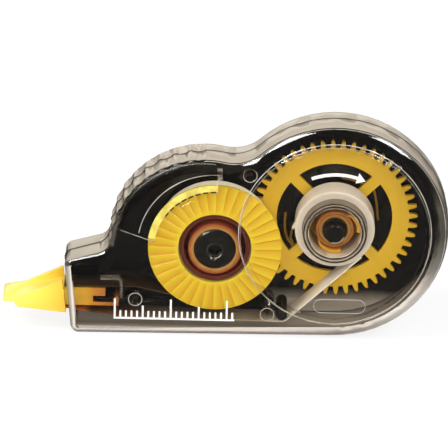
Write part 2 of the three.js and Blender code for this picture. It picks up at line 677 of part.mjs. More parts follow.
// Fluted disc: a shallow cone with radial grooves, open over the hub
function takeUpDisc() {
  const count = DISC_FLUTES * 2;
  const radii = [DISC_OPENING_R, DISC_R - DISC_RIM_FLAT, DISC_R];
  const point = (radius, angle, depth) => [radius * Math.cos(angle), depth, radius * Math.sin(angle)];
  const rise = (radius) => (DISC_CONE * (DISC_R - radius)) / (DISC_R - DISC_OPENING_R);
  const rings = [];
  const addRing = (radius, base, cut) => {
    const points = [];
    for (let i = 0; i < count; i++) {
      points.push(point(radius, (TAU * i) / count, base - (i % 2 ? cut : 0)));
    }
    rings.push(points);
  };
  const top = DISC_BACK + DISC_THICK;
  addRing(radii[0], DISC_BACK, 0);
  addRing(radii[0], top + rise(radii[0]), DISC_FLUTE_DEPTH / 2);
  addRing(radii[1], top + rise(radii[1]), DISC_FLUTE_DEPTH);
  addRing(radii[2], top - DISC_FLUTE_DEPTH / 2, DISC_FLUTE_DEPTH / 2);
  addRing(radii[2], DISC_BACK, 0);
  return ringLoft(rings);
}

// Solid through rings that close on themselves, so the last joins the first
function ringLoft(rings) {
  const count = rings[0].length;
  const vertices = rings.flat(2);
  const triangles = [];
  for (let k = 0; k < rings.length; k++) {
    const low = k * count;
    const high = ((k + 1) % rings.length) * count;
    for (let i = 0; i < count; i++) {
      const j = (i + 1) % count;
      triangles.push(low + i, high + j, high + i, low + i, low + j, high + j);
    }
  }
  const geometry = new THREE.BufferGeometry();
  geometry.setAttribute('position', new THREE.Float32BufferAttribute(vertices, 3));
  geometry.setIndex(triangles);
  return oriented(solidFrom(geometry), geometry);
}

// Applicator: two cheeks, a blade between them, and a neck with a fork inside the nose
function applicator() {
  const cheekFace = -NOSE_LENGTH - CHEEK_GAP_TO_NOSE;
  const near = TAPE_MIDDLE + TIP_WIDTH / 2;
  const far = TAPE_MIDDLE - TIP_WIDTH / 2;
  const cheekTip = { x: X_LOW + CHEEK_TIP_BACK + CHEEK_TIP_R, z: TIP_Z - CHEEK_TIP_R / 2 };
  const cheek = [
    [cheekFace + NOSE_SLANT * CHEEK_LOW_LEAN, CHEEK_LOW_Z],
    [cheekFace, CHEEK_TOP_Z],
    ...arc(cheekTip, CHEEK_TIP_R, CHEEK_TIP_FROM_DEG, CHEEK_TIP_TO_DEG, CHEEK_TIP_STEP_DEG),
  ];
  const blade = [
    [X_LOW, TIP_Z],
    [X_LOW + TIP_EDGE / 2, TIP_Z - TIP_EDGE / 2],
    [NOSE_INNER_X, BLADE_LOW_Z],
    [NOSE_INNER_X, BLADE_TOP_Z],
    [X_LOW + TIP_EDGE / 2, TIP_Z + TIP_EDGE / 2],
  ];
  const stop = cheekFace + NOSE_SLANT * BLADE_END_LEAN;
  const bladeFront = blade.map(([x, z]) => [Math.min(x, stop), z]);
  let body = prism(cheek, far, far + CHEEK_THICK);
  body = body.add(prism(cheek, near - CHEEK_THICK, near));
  body = body.add(prism(bladeFront, far, near));
  body = body.add(neckAndFork(stop));
  return body;
}

function neckAndFork(startX) {
  const half = NECK_WIDTH / 2;
  const top = BLADE_TOP_Z;
  const low = BLADE_LOW_Z;
  const end = FORK_X + FORK_LENGTH;
  const slotHigh = KEY_Z + KEY_HEIGHT / 2 + SHAFT_GAP;
  const slotLow = KEY_Z - KEY_HEIGHT / 2 - SHAFT_GAP;
  const outline = [
    [startX - WALL, low],
    [end, low],
    [end, low + FORK_HOOK_RISE],
    [end - FORK_HOOK_WIDTH, low + FORK_HOOK_RISE],
    [end - FORK_HOOK_WIDTH, slotLow],
    [FORK_X, slotLow],
    [FORK_X, slotHigh],
    [FORK_X + FORK_UPPER_LENGTH, slotHigh],
    [FORK_X + FORK_UPPER_LENGTH, top],
    [startX - WALL, top],
  ];
  return prism(outline, TAPE_MIDDLE - half, TAPE_MIDDLE + half);
}

// Outline of a strip of even thickness along a path of [x, z] points
function stripOutline(path, thickness) {
  const half = thickness / 2;
  const upper = [];
  const lower = [];
  for (let i = 0; i < path.length; i++) {
    const before = path[Math.max(0, i - 1)];
    const after = path[Math.min(path.length - 1, i + 1)];
    const length = Math.hypot(after[0] - before[0], after[1] - before[1]);
    const nx = -(after[1] - before[1]) / length;
    const nz = (after[0] - before[0]) / length;
    upper.push([path[i][0] + nx * half, path[i][1] + nz * half]);
    lower.push([path[i][0] - nx * half, path[i][1] - nz * half]);
  }
  return [...lower, ...upper.reverse()];
}

// A thin ribbon of tape along a path, one tape width deep
function ribbon(path) {
  return prism(stripOutline(path, TAPE_SHEET), TAPE_BACK, TAPE_FRONT);
}

// Point where a line from outside touches a circle; side is 1 or -1
function tangentPoint(centre, radius, from, side) {
  const away = Math.hypot(from.x - centre.x, from.z - centre.z);
  const toward = Math.atan2(from.z - centre.z, from.x - centre.x);
  const angle = toward + side * Math.acos(radius / away);
  return { x: centre.x + radius * Math.cos(angle), z: centre.z + radius * Math.sin(angle) };
}

// Fresh tape: off the roll, under the guide, along the floor to the blade
function supplyTapeRun() {
  const clear = SEAT_GAP + TAPE_SHEET / 2;
  const under = GUIDE_R + clear;
  const low = GUIDE.z - under;
  const around = (turn) => [GUIDE.x + under * Math.sin(turn), GUIDE.z - under * Math.cos(turn)];
  const [bendX, bendZ] = around(GUIDE_WRAP);
  const off = tangentPoint(SUPPLY_AXLE, TAPE_ROLL_R + clear, { x: bendX, z: bendZ }, 1);
  const bladeLow = BLADE_LOW_Z - clear;
  return ribbon([
    [off.x, off.z],
    [bendX, bendZ],
    around(GUIDE_WRAP * 2 / 3),
    around(GUIDE_WRAP / 3),
    around(0),
    [FORK_X + FORK_LENGTH, Math.min(low + FLOOR_RUN_RISE, bladeLow)],
    [-NOSE_LENGTH, bladeLow],
  ]);
}

// Spent backing: from over the blade, across the nose pin, to the underside of the take-up roll
function usedTapeRun() {
  const clear = SEAT_GAP + TAPE_SHEET / 2;
  const over = BOSS_R + clear;
  const start = { x: -NOSE_LENGTH, z: BLADE_TOP_Z + clear };
  const top = { x: NOSE_PIN.x, z: NOSE_PIN.z + over };
  const past = {
    x: NOSE_PIN.x + over * Math.sin(NOSE_PIN_WRAP),
    z: NOSE_PIN.z + over * Math.cos(NOSE_PIN_WRAP),
  };
  const on = tangentPoint(TAKE_UP_AXLE, USED_ROLL_R + clear, past, 1);
  return ribbon([[start.x, start.z], [top.x, top.z], [past.x, past.z], [on.x, on.z]]);
}

// Model

const part = new THREE.Group();
part.position.set(-(X_LOW + X_HIGH) / 2, 0, -BASE_Z);

function place(name, solid, colour, roughness, metalness = 0) {
  const mesh = solid.getMesh();
  const count = mesh.vertProperties.length / mesh.numProp;
  const positions = new Float32Array(count * 3);
  for (let i = 0; i < count; i++) {
    positions[i * 3] = mesh.vertProperties[i * mesh.numProp];
    // Depth from the rear face becomes Y, with the front toward low Y
    positions[i * 3 + 1] = TOTAL_DEPTH / 2 - mesh.vertProperties[i * mesh.numProp + 1];
    positions[i * 3 + 2] = mesh.vertProperties[i * mesh.numProp + 2];
  }
  const indices = Array.from(mesh.triVerts);
  // Turning depth round mirrors the solid, so each triangle is turned back
  for (let i = 0; i < indices.length; i += 3) {
    [indices[i + 1], indices[i + 2]] = [indices[i + 2], indices[i + 1]];
  }
  const geometry = new THREE.BufferGeometry();
  geometry.setAttribute('position', new THREE.BufferAttribute(positions, 3));
  geometry.setIndex(indices);
  geometry.computeVertexNormals();
  const material = new THREE.MeshStandardMaterial({ color: colour, roughness, metalness });
  const piece = new THREE.Mesh(geometry, material);
  piece.name = name;
  part.add(piece);
}

place('rear_shell', rearShell(), '#141414', 0.25);
place('front_shell', frontShell(), '#8f8a82', 0.1);
place('supply_gear', supplyGear(), '#e0ad22', 0.4);
place('clutch_spring', clutchSpring(), '#e0902a', 0.4);
place('tape_core', tapeCore(), '#a4937c', 0.35);
place('tape_roll', tapeRoll(), '#ece4d6', 0.6);
place('take_up_reel', takeUpReel(), '#c8752e', 0.4);
place('take_up_disc', takeUpDisc(), '#e8bd2c', 0.4);
place('used_tape_roll', usedTapeRoll(), '#cbc3a7', 0.5);
place('supply_tape_run', supplyTapeRun(), '#e3d9c9', 0.6);
place('used_tape_run', usedTapeRun(), '#6b5a45', 0.4);
place('applicator', applicator(), '#fae04a', 0.35);

export default part;
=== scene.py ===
# %% [markdown]
# # A correction tape dispenser
# The dispenser is two snapped shells round a gear pair. The rear shell is black and glossy, the
# front one is clear, so most of what the eye sees is the mechanism behind it: a yellow supply gear
# with the roll of tape, and a fluted lemon disc on the take-up reel. The CAD frame gives every place
# and size. Here each piece gets its soft edges, its fine relief and its finish.

# %% Load the frame
import math

import bmesh
import bpy
from mathutils import Matrix, Vector


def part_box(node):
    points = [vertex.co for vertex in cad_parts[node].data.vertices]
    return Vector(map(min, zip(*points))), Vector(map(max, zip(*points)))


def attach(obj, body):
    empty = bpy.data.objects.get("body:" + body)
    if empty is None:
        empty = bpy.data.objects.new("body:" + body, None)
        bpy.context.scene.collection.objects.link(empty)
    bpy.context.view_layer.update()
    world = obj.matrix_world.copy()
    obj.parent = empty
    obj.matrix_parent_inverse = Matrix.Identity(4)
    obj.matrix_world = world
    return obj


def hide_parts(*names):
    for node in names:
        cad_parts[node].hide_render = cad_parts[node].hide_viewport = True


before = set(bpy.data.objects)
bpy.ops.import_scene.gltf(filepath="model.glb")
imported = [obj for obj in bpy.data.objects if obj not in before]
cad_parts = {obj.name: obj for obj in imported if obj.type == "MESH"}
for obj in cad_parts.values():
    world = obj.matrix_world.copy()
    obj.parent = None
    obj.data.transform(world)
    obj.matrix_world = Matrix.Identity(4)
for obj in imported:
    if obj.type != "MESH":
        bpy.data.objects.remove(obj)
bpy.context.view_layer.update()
MM = 0.001
bpy.ops.object.select_all(action="DESELECT")
print("nodes:", ", ".join(sorted(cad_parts)))

# %% [markdown]
# Places come from the frame and never from a ruler. The disc and the reel turn on the take-up axle,
# and the gear turns on the supply axle, so the middle of their boxes gives both axles.

# %% Find the axles and the depths of the rolls


def middle(node):
    low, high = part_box(node)
    return (Vector(low) + Vector(high)) / 2


def radius(node):
    low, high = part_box(node)
    return (high[0] - low[0]) / 2


TAKE_UP = middle("take_up_disc")
SUPPLY = middle("tape_roll")
print("axles, mm:", [round(v / MM, 2) for v in (*TAKE_UP, *SUPPLY)])

# %% [markdown]
# A few helpers keep the materials readable. One turns a written sRGB colour into the linear values
# that Blender's sockets take, and one adds a node, with its settings and the links into it. The
# short ones add the kinds of node used most and return their outputs. The rest start and end a
# material, measure how far a place is from an axle, and give the way that a surface faces.

# %% Colour and node helpers
FROM_AXLE = (1, 0, 1)
ALONG = (1, 0, 0)


def linear(code):
    channels = [int(code[i:i + 2], 16) / 255 for i in (1, 3, 5)]
    values = [c / 12.92 if c <= 0.04045 else ((c + 0.055) / 1.055) ** 2.4 for c in channels]
    return (*values, 1.0)


def add(tree, kind, inputs=None, **settings):
    made = tree.nodes.new(kind)
    for name, value in settings.items():
        setattr(made, name, value)
    for name, value in (inputs or {}).items():
        if isinstance(value, bpy.types.NodeSocket):
            tree.links.new(value, made.inputs[name])
        else:
            made.inputs[name].default_value = value
    return made


def maths(tree, operation, *values):
    return add(tree, "ShaderNodeMath", dict(enumerate(values)), operation=operation).outputs[0]


def remap(tree, value, given=(0.0, 1.0), wanted=(0.0, 1.0)):
    """Carries a value over from one range to another and stops at its ends."""
    return add(tree, "ShaderNodeMapRange", {
        "Value": value, "From Min": given[0], "From Max": given[1],
        "To Min": wanted[0], "To Max": wanted[1]}).outputs["Result"]


def mix(tree, share, first, second, data_type="RGBA"):
    return add(tree, "ShaderNodeMix", {"Factor": share, "A": first, "B": second},
               data_type=data_type).outputs["Result"]


def mix_shaders(tree, share, first, second):
    return add(tree, "ShaderNodeMixShader", {
        "Fac": share, 1: first, 2: second}).outputs["Shader"]


def ramp(tree, share, stops):
    """Colour and Alpha of a ramp whose stops are (position, colour) or (position, colour, alpha)."""
    made = add(tree, "ShaderNodeValToRGB", {"Fac": share})
    points = made.color_ramp.elements
    while len(points) < len(stops):
        points.new(0.5)
    for point, (position, code, *alpha) in zip(points, stops):
        point.position = position
        point.color = (*linear(code)[:3], *(alpha or [1.0]))
    return made.outputs


def per_metre(size_mm):
    return 1 / (size_mm * MM)


def noise(tree, place, size_mm, detail):
    return add(tree, "ShaderNodeTexNoise", {
        "Vector": place, "Scale": per_metre(size_mm), "Detail": detail}).outputs["Fac"]


def bump(tree, height, strength, depth):
    return add(tree, "ShaderNodeBump", {
        "Height": height, "Strength": strength, "Distance": depth}).outputs["Normal"]


def principled(tree, inputs):
    return add(tree, "ShaderNodeBsdfPrincipled", inputs).outputs["BSDF"]


def see_through(tree, tint):
    return add(tree, "ShaderNodeBsdfTransparent", {"Color": linear(tint)}).outputs["BSDF"]


def split(tree, vector):
    """The X, Y and Z parts of a vector."""
    return add(tree, "ShaderNodeSeparateXYZ", {"Vector": vector}).outputs


def way_faced(tree):
    """The X, Y and Z parts of the way that the surface faces."""
    return split(tree, add(tree, "ShaderNodeNewGeometry").outputs["Normal"])


def distance(tree, place, centre, axes):
    """How far a place is from a centre, along the axes that are 1."""
    centred = add(tree, "ShaderNodeVectorMath", {0: place, 1: centre}, operation="SUBTRACT")
    kept = add(tree, "ShaderNodeVectorMath", {0: centred.outputs[0], 1: axes}, operation="MULTIPLY")
    away = add(tree, "ShaderNodeVectorMath", {0: kept.outputs[0]}, operation="LENGTH")
    return away.outputs["Value"]


def blank_material(name):
    material = bpy.data.materials.new(name)
    material.use_nodes = True
    material.node_tree.nodes.clear()
    return material, material.node_tree


def piece_material(name):
    """An empty material, its tree, and the socket that gives the place on the piece."""
    material, tree = blank_material(name)
    return material, tree, add(tree, "ShaderNodeTexCoord").outputs["Object"]


def surfaced(material, shader):
    add(material.node_tree, "ShaderNodeOutputMaterial", {"Surface": shader})
    return material


# %% [markdown]
# Most pieces are injection moulded plastic. Its colour is even, with a faint cloudiness where the
# melt flowed, and its skin carries a very fine spark-eroded grain. The grain is about 0.05 mm on
# the real piece. That is too fine to show here, so it is drawn at 0.4 mm and very low.

# %% Moulded plastic
FLOW_MM = 6.0
GRAIN_MM = 0.4
GRAIN_STRENGTH = 0.03
GRAIN_DEPTH = 0.05 * MM


def moulded(name, base, shade, rough):
    material, tree, place = piece_material(name)
    flow = noise(tree, place, FLOW_MM, 3.0)
    grain = noise(tree, place, GRAIN_MM, 2.0)
    return surfaced(material, principled(tree, {
        "Base Color": mix(tree, flow, linear(base), linear(shade)),
        "Roughness": remap(tree, grain, wanted=(rough * 0.8, rough * 1.25)),
        "Normal": bump(tree, grain, GRAIN_STRENGTH, GRAIN_DEPTH)}))


BLACK_ABS = moulded("glossy black ABS", "#151413", "#1c1a18", 0.16)
MATT_ABS = moulded("black ABS in a blind hole", "#151413", "#1c1a18", 0.5)
SEAM_DARK = moulded("shadow of the seam", "#33291f", "#241d16", 0.6)
SPENT_TAPE = moulded("glassine backing", "#4a3626", "#3a2c20", 0.3)
DIM_ACETAL = moulded("shaded acetal leaf", "#a8842a", "#8f6f22", 0.4)
WHITE_INK = moulded("white screen ink", "#f4f2ec", "#eceae3", 0.45)

# %% [markdown]
# Tape seen edge-on is hundreds of turns of paper and film. The turns can't be drawn one by one, so
# rings follow the distance from the axle: fine light and dark circles, as coarse as they need to be
# to show, which is one ring each 0.35 mm where the real turns are 0.05 mm. The side that faces up
# gets painted light, a glow that grows the more it faces up, for the light that comes in from
# above.

# %% Wound tape
RING_MM = 0.35
RING_DEPTH = 0.08 * MM


def wound(name, light, dark, axle, glow):
    """Wound tape. glow is how strong the painted light is on the side that faces up."""
    material, tree, place = piece_material(name)
    turns = maths(tree, "MULTIPLY", distance(tree, place, axle, FROM_AXLE), per_metre(RING_MM))
    wave = add(tree, "ShaderNodeTexNoise", {
        "W": turns, "Scale": 1.0, "Detail": 4.0}, noise_dimensions="1D").outputs["Fac"]
    tint = mix(tree, wave, linear(dark), linear(light))
    # The emission is painted light, strongest where the surface faces straight up.
    return surfaced(material, principled(tree, {
        "Base Color": tint, "Roughness": 0.5, "Normal": bump(tree, wave, 0.2, RING_DEPTH),
        "Emission Color": tint,
        "Emission Strength": remap(tree, way_faced(tree)["Z"], (0.1, 1.0), (0.0, glow))}))


FRESH_ROLL = wound("wound correction tape", "#f6eee1", "#cfc4b4", SUPPLY, 0.5)
SPENT_ROLL = wound("wound glassine backing", "#f4ebd0", "#d9cfb0", TAKE_UP, 0.8)

# %% [markdown]
# The fluted disc is thin enough for light to come through from behind. Each flute is painted light
# lemon at its thick ridge and painted shade, a darker orange, down its slope, so the mesh carries the
# slope as an attribute.

# %% Lemon disc


def fluted_plastic(name, ridge, valley):
    material, tree, place = piece_material(name)
    slope = add(tree, "ShaderNodeAttribute", attribute_name="slope").outputs["Fac"]
    # The colour from ridge to sunk step is painted light and shade down each flute.
    clouded = maths(tree, "MULTIPLY_ADD", noise(tree, place, 2.0, 3.0), 0.25, slope)
    return surfaced(material, principled(tree, {
        "Base Color": mix(tree, remap(tree, clouded, (0.1, 1.15)), linear(ridge), linear(valley)),
        "Roughness": 0.42, "Specular IOR Level": 0.2, "Subsurface Weight": 0.05,
        "Subsurface Radius": (1.0, 0.7, 0.3), "Subsurface Scale": 1.0 * MM}))


LEMON_STYRENE = fluted_plastic("lemon polystyrene disc", "#efd736", "#e1a626")

# %% [markdown]
# Some pieces change colour with the distance from their axle or along their length, and these
# ramps carry painted light and shade. The gear and its clutch are painted brownest at the hub, as
# the shade of the core. The reel is amber polystyrene, painted pale at its sleeve as light and
# red-brown round that as the shade in the recess under the disc. The core has painted grey and dark
# rings where its steps shade each other, and a pale bore of painted light. The applicator is lemon
# outside, in full light, and painted orange towards its fork, as the shade deep in the smoked nose.
# The free strand of tape is white, and painted brown as shade where it runs under the reel and
# through the nose.

# %% Gear, clutch, reel, core, applicator and strand


def graded(name, stops, centre, low_mm, high_mm, axes, rough):
    """Moulded plastic whose colour follows the distance from a centre, low_mm to high_mm."""
    material, tree, place = piece_material(name)
    away = distance(tree, place, centre, axes)
    clouded = maths(tree, "MULTIPLY_ADD", noise(tree, place, 1.5, 3.0), 0.3 * MM, away)
    share = remap(tree, clouded, (low_mm * MM, high_mm * MM))
    grain = noise(tree, place, GRAIN_MM, 2.0)
    return surfaced(material, principled(tree, {
        "Base Color": ramp(tree, share, stops)["Color"], "Roughness": rough, "Coat Weight": 0.2,
        "Normal": bump(tree, grain, GRAIN_STRENGTH, GRAIN_DEPTH)}))


def left_end(node):
    return Vector((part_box(node)[0][0], 0, 0))


# The brown stops near the axle are painted shade.
YELLOW_ACETAL = graded("yellow acetal gear", (
    (0.0, "#a87231"), (0.22, "#bf8a3c"), (0.3, "#f5c128"), (0.6, "#ffd331"), (1.0, "#fbcb2d")),
    SUPPLY, 0.0, 15.0, FROM_AXLE, 0.38)
# The brown stops near the axle are painted shade.
AMBER_ACETAL = graded("amber acetal clutch", (
    (0.0, "#b06a2c"), (0.25, "#c8823a"), (0.4, "#eeae38"), (1.0, "#f7c848")),
    SUPPLY, 3.0, 5.5, FROM_AXLE, 0.35)
# The pale first stop is painted light, the red-brown stops painted shade in the recess.
AMBER_STYRENE = graded("amber polystyrene reel", (
    (0.0, "#cfa050"), (0.22, "#b47a38"), (0.34, "#9a4426"), (0.42, "#84341f"), (0.7, "#6a2c1d"),
    (1.0, "#4e241b")),
    TAKE_UP, 3.7, 7.0, FROM_AXLE, 0.25)
# The pale first stop is painted light in the bore, the dark rings painted shade of the steps.
GREY_STYRENE = graded("warm grey polystyrene core", (
    (0.0, "#efe3cd"), (0.16, "#e6dcc8"), (0.23, "#b9ae9d"), (0.29, "#2a2520"), (0.42, "#332e28"),
    (0.5, "#b7ab98"), (0.68, "#c9beac"), (0.76, "#4a443c"), (0.82, "#241f1a"), (0.92, "#2e2822"),
    (1.0, "#8d8171")),
    SUPPLY, 4.6, 5.85, FROM_AXLE, 0.22)
# The orange stops towards the fork are painted shade in the nose.
LEMON_ACETAL = graded("lemon acetal applicator", (
    (0.0, "#f9e66c"), (0.35, "#f5d84c"), (0.5, "#f4c93a"), (0.72, "#f0b52c"), (0.8, "#d98a2a"),
    (1.0, "#a8642a")),
    left_end("applicator"), 0.0, 21.0, ALONG, 0.33)
# The brown and dark stops at the left end are painted shade under the reel and in the nose.
FRESH_TAPE = graded("white correction film", (
    (0.0, "#b7602a"), (0.075, "#b35c2a"), (0.095, "#3f3020"), (0.13, "#6e5034"), (0.22, "#715134"),
    (0.34, "#8d7f6c"), (0.66, "#a89b86"), (0.76, "#f5eee2"), (1.0, "#fffcf6")),
    left_end("supply_tape_run"), 0.0, 53.0, ALONG, 0.5)

# %% [markdown]
# The front shell is clear polystyrene, lightly smoked. A flat wall under a millimetre thick shifts
# what is behind it by almost nothing, so a see-through shader with a thin gloss on top gives the
# same picture as solid glass, with less noise, and it lets the studio's light in to the mechanism.

# %% Clear polystyrene
WHITE = linear("#ffffff")


def clear_plastic(name, tint, rough, facing_gloss, edge_gloss, film=None):
    """film adds a layer that passes on light: it returns the layer's colour and its share."""
    material, tree, place = piece_material(name)
    haze = remap(tree, noise(tree, place, 3.0, 5.0), wanted=(rough * 0.6, rough * 1.6))
    shine = add(tree, "ShaderNodeBsdfGlossy", {"Color": WHITE, "Roughness": haze}).outputs["BSDF"]
    slant = add(tree, "ShaderNodeLayerWeight", {"Blend": 0.5}).outputs["Facing"]
    gloss = remap(tree, maths(tree, "POWER", slant, 3.0), wanted=(facing_gloss, edge_gloss))
    mixed = mix_shaders(tree, gloss, see_through(tree, tint), shine)
    if film:
        colour, share = film(tree, place)
        layer = principled(tree, {"Base Color": colour, "Roughness": 0.2})
        mixed = mix_shaders(tree, share, mixed, layer)
    return surfaced(material, mixed)


CLEAR_STYRENE = clear_plastic("clear polystyrene", "#faf8f5", 0.05, 0.022, 0.7)
DULL_STEP = clear_plastic("dull step in the clear wall", "#faf8f5", 0.4, 0.0, 0.0)

# %% [markdown]
# The thick edge of a clear shell pipes light. Where it faces up or down it passes on the light of the
# room and the table and looks pale beige. Where it faces sideways it shows the black inside. This is
# painted light: the rim's colour follows the upward part of the way that the surface faces. The end
# wall at the nose is lit as well, so the sum counts as less upward there and lands on a paler tone.

# %% Light in the rim
RIM_TONES = (
    (0.0, "#8b8179"), (0.07, "#a49b90"), (0.13, "#b6b3aa"), (0.23, "#aba59d"), (0.32, "#8b887c"),
    (0.42, "#524c46"), (0.5, "#4c4843"), (0.64, "#5a5248"), (0.74, "#9f9586"), (1.0, "#aea392"))
NOSE_FROM = -24 * MM
NOSE_FULL = -26 * MM
NOSE_LESS = -0.22


def upward(tree, place, faced):
    nose = remap(tree, split(tree, place)["X"], (NOSE_FROM, NOSE_FULL), (0.0, NOSE_LESS))
    return maths(tree, "ADD", faced["Z"], nose)


def light_piping_rim(name):
    material, tree, place = piece_material(name)
    flow = noise(tree, place, 9.0, 3.0)
    # The rim's tone, picked by how far the surface faces up, is painted light.
    clouded = maths(tree, "MULTIPLY_ADD", flow, 0.1, upward(tree, place, way_faced(tree)))
    tint = ramp(tree, remap(tree, clouded, (-0.95, 1.05)), RIM_TONES)["Color"]
    return surfaced(material, principled(tree, {
        "Base Color": tint, "Roughness": 0.24, "IOR": 1.4}))


SMOKED_RIM = light_piping_rim("smoked polystyrene rim")

# %% [markdown]
# The rounded edge between the rim and the face is clear, but light from the rim runs through it as
# two bands: a bright one beside the face and a duller one outside it. Here they are painted light, a
# film on the clear plastic. Its colour and its share follow the way round the outline that the edge
# faces, and how far it leans from the face picks the band.

# %% Light in the rounded edge
OUTER_TONES = (
    (0.0, "#948a82", 0.9), (0.12, "#b8b3a9", 0.9), (0.25, "#b9b0a5", 0.9), (0.38, "#7d7970", 0.8),
    (0.55, "#4a4740", 0.9), (0.72, "#564f45", 0.8), (0.85, "#2a2622", 0.0))
INNER_TONES = (
    (0.0, "#d5ccc1", 0.9), (0.12, "#e5ded3", 0.95), (0.25, "#d5c9bd", 0.9),
    (0.38, "#7f766c", 0.75), (0.55, "#3d3931", 0.5), (0.7, "#2a2622", 0.0))
INNER_BAND = (0.89, 0.95)
FLAT_FACE = (0.9995, 0.99)


def edge_film(tree, place):
    faced = way_faced(tree)
    lean = maths(tree, "ABSOLUTE", faced["Y"])
    flat_part = maths(tree, "SQRT", maths(tree, "SUBTRACT", 1.0, maths(tree, "POWER", lean, 2.0)))
    azimuth = maths(tree, "DIVIDE", upward(tree, place, faced), flat_part)
    way = remap(tree, azimuth, (-1.0, 0.8))
    # Both ramps are painted light on the rounded edge.
    outer = ramp(tree, way, OUTER_TONES)
    inner = ramp(tree, way, INNER_TONES)
    inward = remap(tree, lean, INNER_BAND)
    colour = mix(tree, inward, outer["Color"], inner["Color"])
    share = mix(tree, inward, outer["Alpha"], inner["Alpha"], "FLOAT")
    return colour, maths(tree, "MULTIPLY", share, remap(tree, lean, FLAT_FACE))


ROUNDED_CLEAR = clear_plastic("rounded clear edge", "#c9c4bc", 0.06, 0.05, 0.7, edge_film)
DULL_CLEAR = clear_plastic("edge over the grip", "#c9c4bc", 0.35, 0.01, 0.3, edge_film)

# %% [markdown]
# The fine corner of each clear wall, where two faces meet, gets a painted highlight: a thin bright
# line. Noise makes the painted line stronger and weaker along its way.

# %% Light in the corners


def lit_corner(name, tint, share):
    material, tree, place = piece_material(name)
    # Painted highlight, its strength varied by noise along the line.
    highlight_strength = remap(tree, noise(tree, place, 2.5, 4.0), (0.3, 0.7), (share * 0.4, share))
    bright = principled(tree, {"Base Color": linear(tint), "Roughness": 0.2})
    return surfaced(material, mix_shaders(tree, highlight_strength, see_through(tree, "#f4f1ec"), bright))


# Painted highlights and painted light for the clear corners and walls.
DIM_CORNER = lit_corner("corner in the shade", "#77726a", 0.6)
CLEAR_CORNER = lit_corner("painted highlight on a clear corner", "#e9e5dc", 0.75)
CLEAR_WALL = lit_corner("painted light in a thick clear wall", "#c9c2b6", 0.5)
LEMON_RIM_LIGHT = lit_corner("painted lemon light over the disc rim", "#fff07a", 0.85)

# %% [markdown]
# Inside, the low walls glow as well. The wall that faces up passes on the light of the table, most
# of all at the front, and low in the round lens the black back looks grey. Both are painted light: a
# colour that follows the place, and a little light of their own, because the clear shell keeps the
# lamps' light from reaching that deep.

# %% Lit floor and lit back
FLOOR_TONES = (
    (0.0, "#8d857c"), (0.14, "#e8e0d6"), (0.3, "#8a8176"), (0.6, "#6b645a"), (1.0, "#857d72"))
FLOOR_GLOW = 0.45
BACK_GLOW = 0.35
SUPPLY_LENS_R = 17.1 * MM
LENS_DROP = Vector((0, 0, 4.2 * MM))


def lit_floor(name):
    material, tree, place = piece_material(name)
    flow = noise(tree, place, 5.0, 3.0)
    depth = maths(tree, "MULTIPLY_ADD", flow, 0.4 * MM, split(tree, place)["Y"])
    tint = ramp(tree, remap(tree, depth, (-3.6 * MM, 0.7 * MM)), FLOOR_TONES)["Color"]
    level = remap(tree, way_faced(tree)["Z"], (0.35, 1.0), (0.0, 0.95))
    lit = principled(tree, {
        "Base Color": tint, "Roughness": 0.3, "Emission Color": tint,
        "Emission Strength": FLOOR_GLOW})
    return surfaced(material, mix_shaders(tree, level, see_through(tree, "#8d8780"), lit))


def lit_back(name):
    material, tree, place = piece_material(name)
    flow = noise(tree, place, 4.0, 3.0)
    height = maths(tree, "MULTIPLY_ADD", flow, 1.2 * MM, split(tree, place)["Z"])
    low = remap(tree, height, (6.6 * MM, 4.2 * MM))
    inside = remap(tree, distance(tree, place, SUPPLY - LENS_DROP, FROM_AXLE),
                   (SUPPLY_LENS_R, SUPPLY_LENS_R - 0.5 * MM))
    share = maths(tree, "MULTIPLY", low, inside)
    tint = mix(tree, share, linear("#151413"), linear("#8a8277"))
    return surfaced(material, principled(tree, {
        "Base Color": tint, "Roughness": 0.2, "Emission Color": tint,
        "Emission Strength": maths(tree, "MULTIPLY", share, BACK_GLOW)}))


LIT_FLOOR = lit_floor("lit floor of the clear shell")
LIT_BACK = lit_back("black ABS with light low in the lens")

# %% [markdown]
# The CAD solids are exact but made of flat facets with knife-sharp edges. No moulded edge is sharp:
# each one has a radius that catches a line of light. So a copy of the solid is welded, its flat
# areas are joined again, and a bevel rounds what is left.

# %% Copy a solid and soften it
WELD = 0.002 * MM


def select_only(piece):
    bpy.ops.object.select_all(action="DESELECT")
    piece.select_set(True)
    bpy.context.view_layer.objects.active = piece


def new_piece(name, data):
    piece = bpy.data.objects.new(name, data)
    bpy.context.collection.objects.link(piece)
    select_only(piece)
    return piece


def welded_copy(name, node, join_flats=True):
    piece = new_piece(name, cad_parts[node].data.copy())
    bpy.ops.object.mode_set(mode="EDIT")
    bpy.ops.mesh.select_all(action="SELECT")
    bpy.ops.mesh.remove_doubles(threshold=WELD)
    if join_flats:
        bpy.ops.mesh.dissolve_limited(angle_limit=math.radians(0.6))
    bpy.ops.object.mode_set(mode="OBJECT")
    return piece


def finish_piece(piece, body, slot, *materials):
    piece.data.materials.clear()
    for material in materials:
        piece.data.materials.append(material)
    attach(piece, body)
    print(piece.name, len(piece.data.polygons), "faces")


def dressed(name, node, body, slot, material, edge_mm):
    piece = welded_copy(name, node)
    edge = piece.modifiers.new("edge", "BEVEL")
    edge.width = edge_mm * MM
    edge.segments = 2
    edge.limit_method = "ANGLE"
    edge.angle_limit = math.radians(40)
    bpy.ops.object.modifier_apply(modifier=edge.name)
    bpy.ops.object.shade_smooth_by_angle(angle=math.radians(38))
    finish_piece(piece, body, slot, material)
    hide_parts(node)
    return piece


# %% [markdown]
# ## The shells
# The two shells share one outline. It is cut from the rear shell with a plane, and it tells later
# which faces lie on the outside and where the lines along the rim run.

# %% Depths and outline of the shells
LENS_Y, SEAM_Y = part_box("front_shell")[0][1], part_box("front_shell")[1][1]
POST_Y, REAR_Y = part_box("rear_shell")[0][1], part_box("rear_shell")[1][1]
FACE_Y = LENS_Y + 1.2 * MM


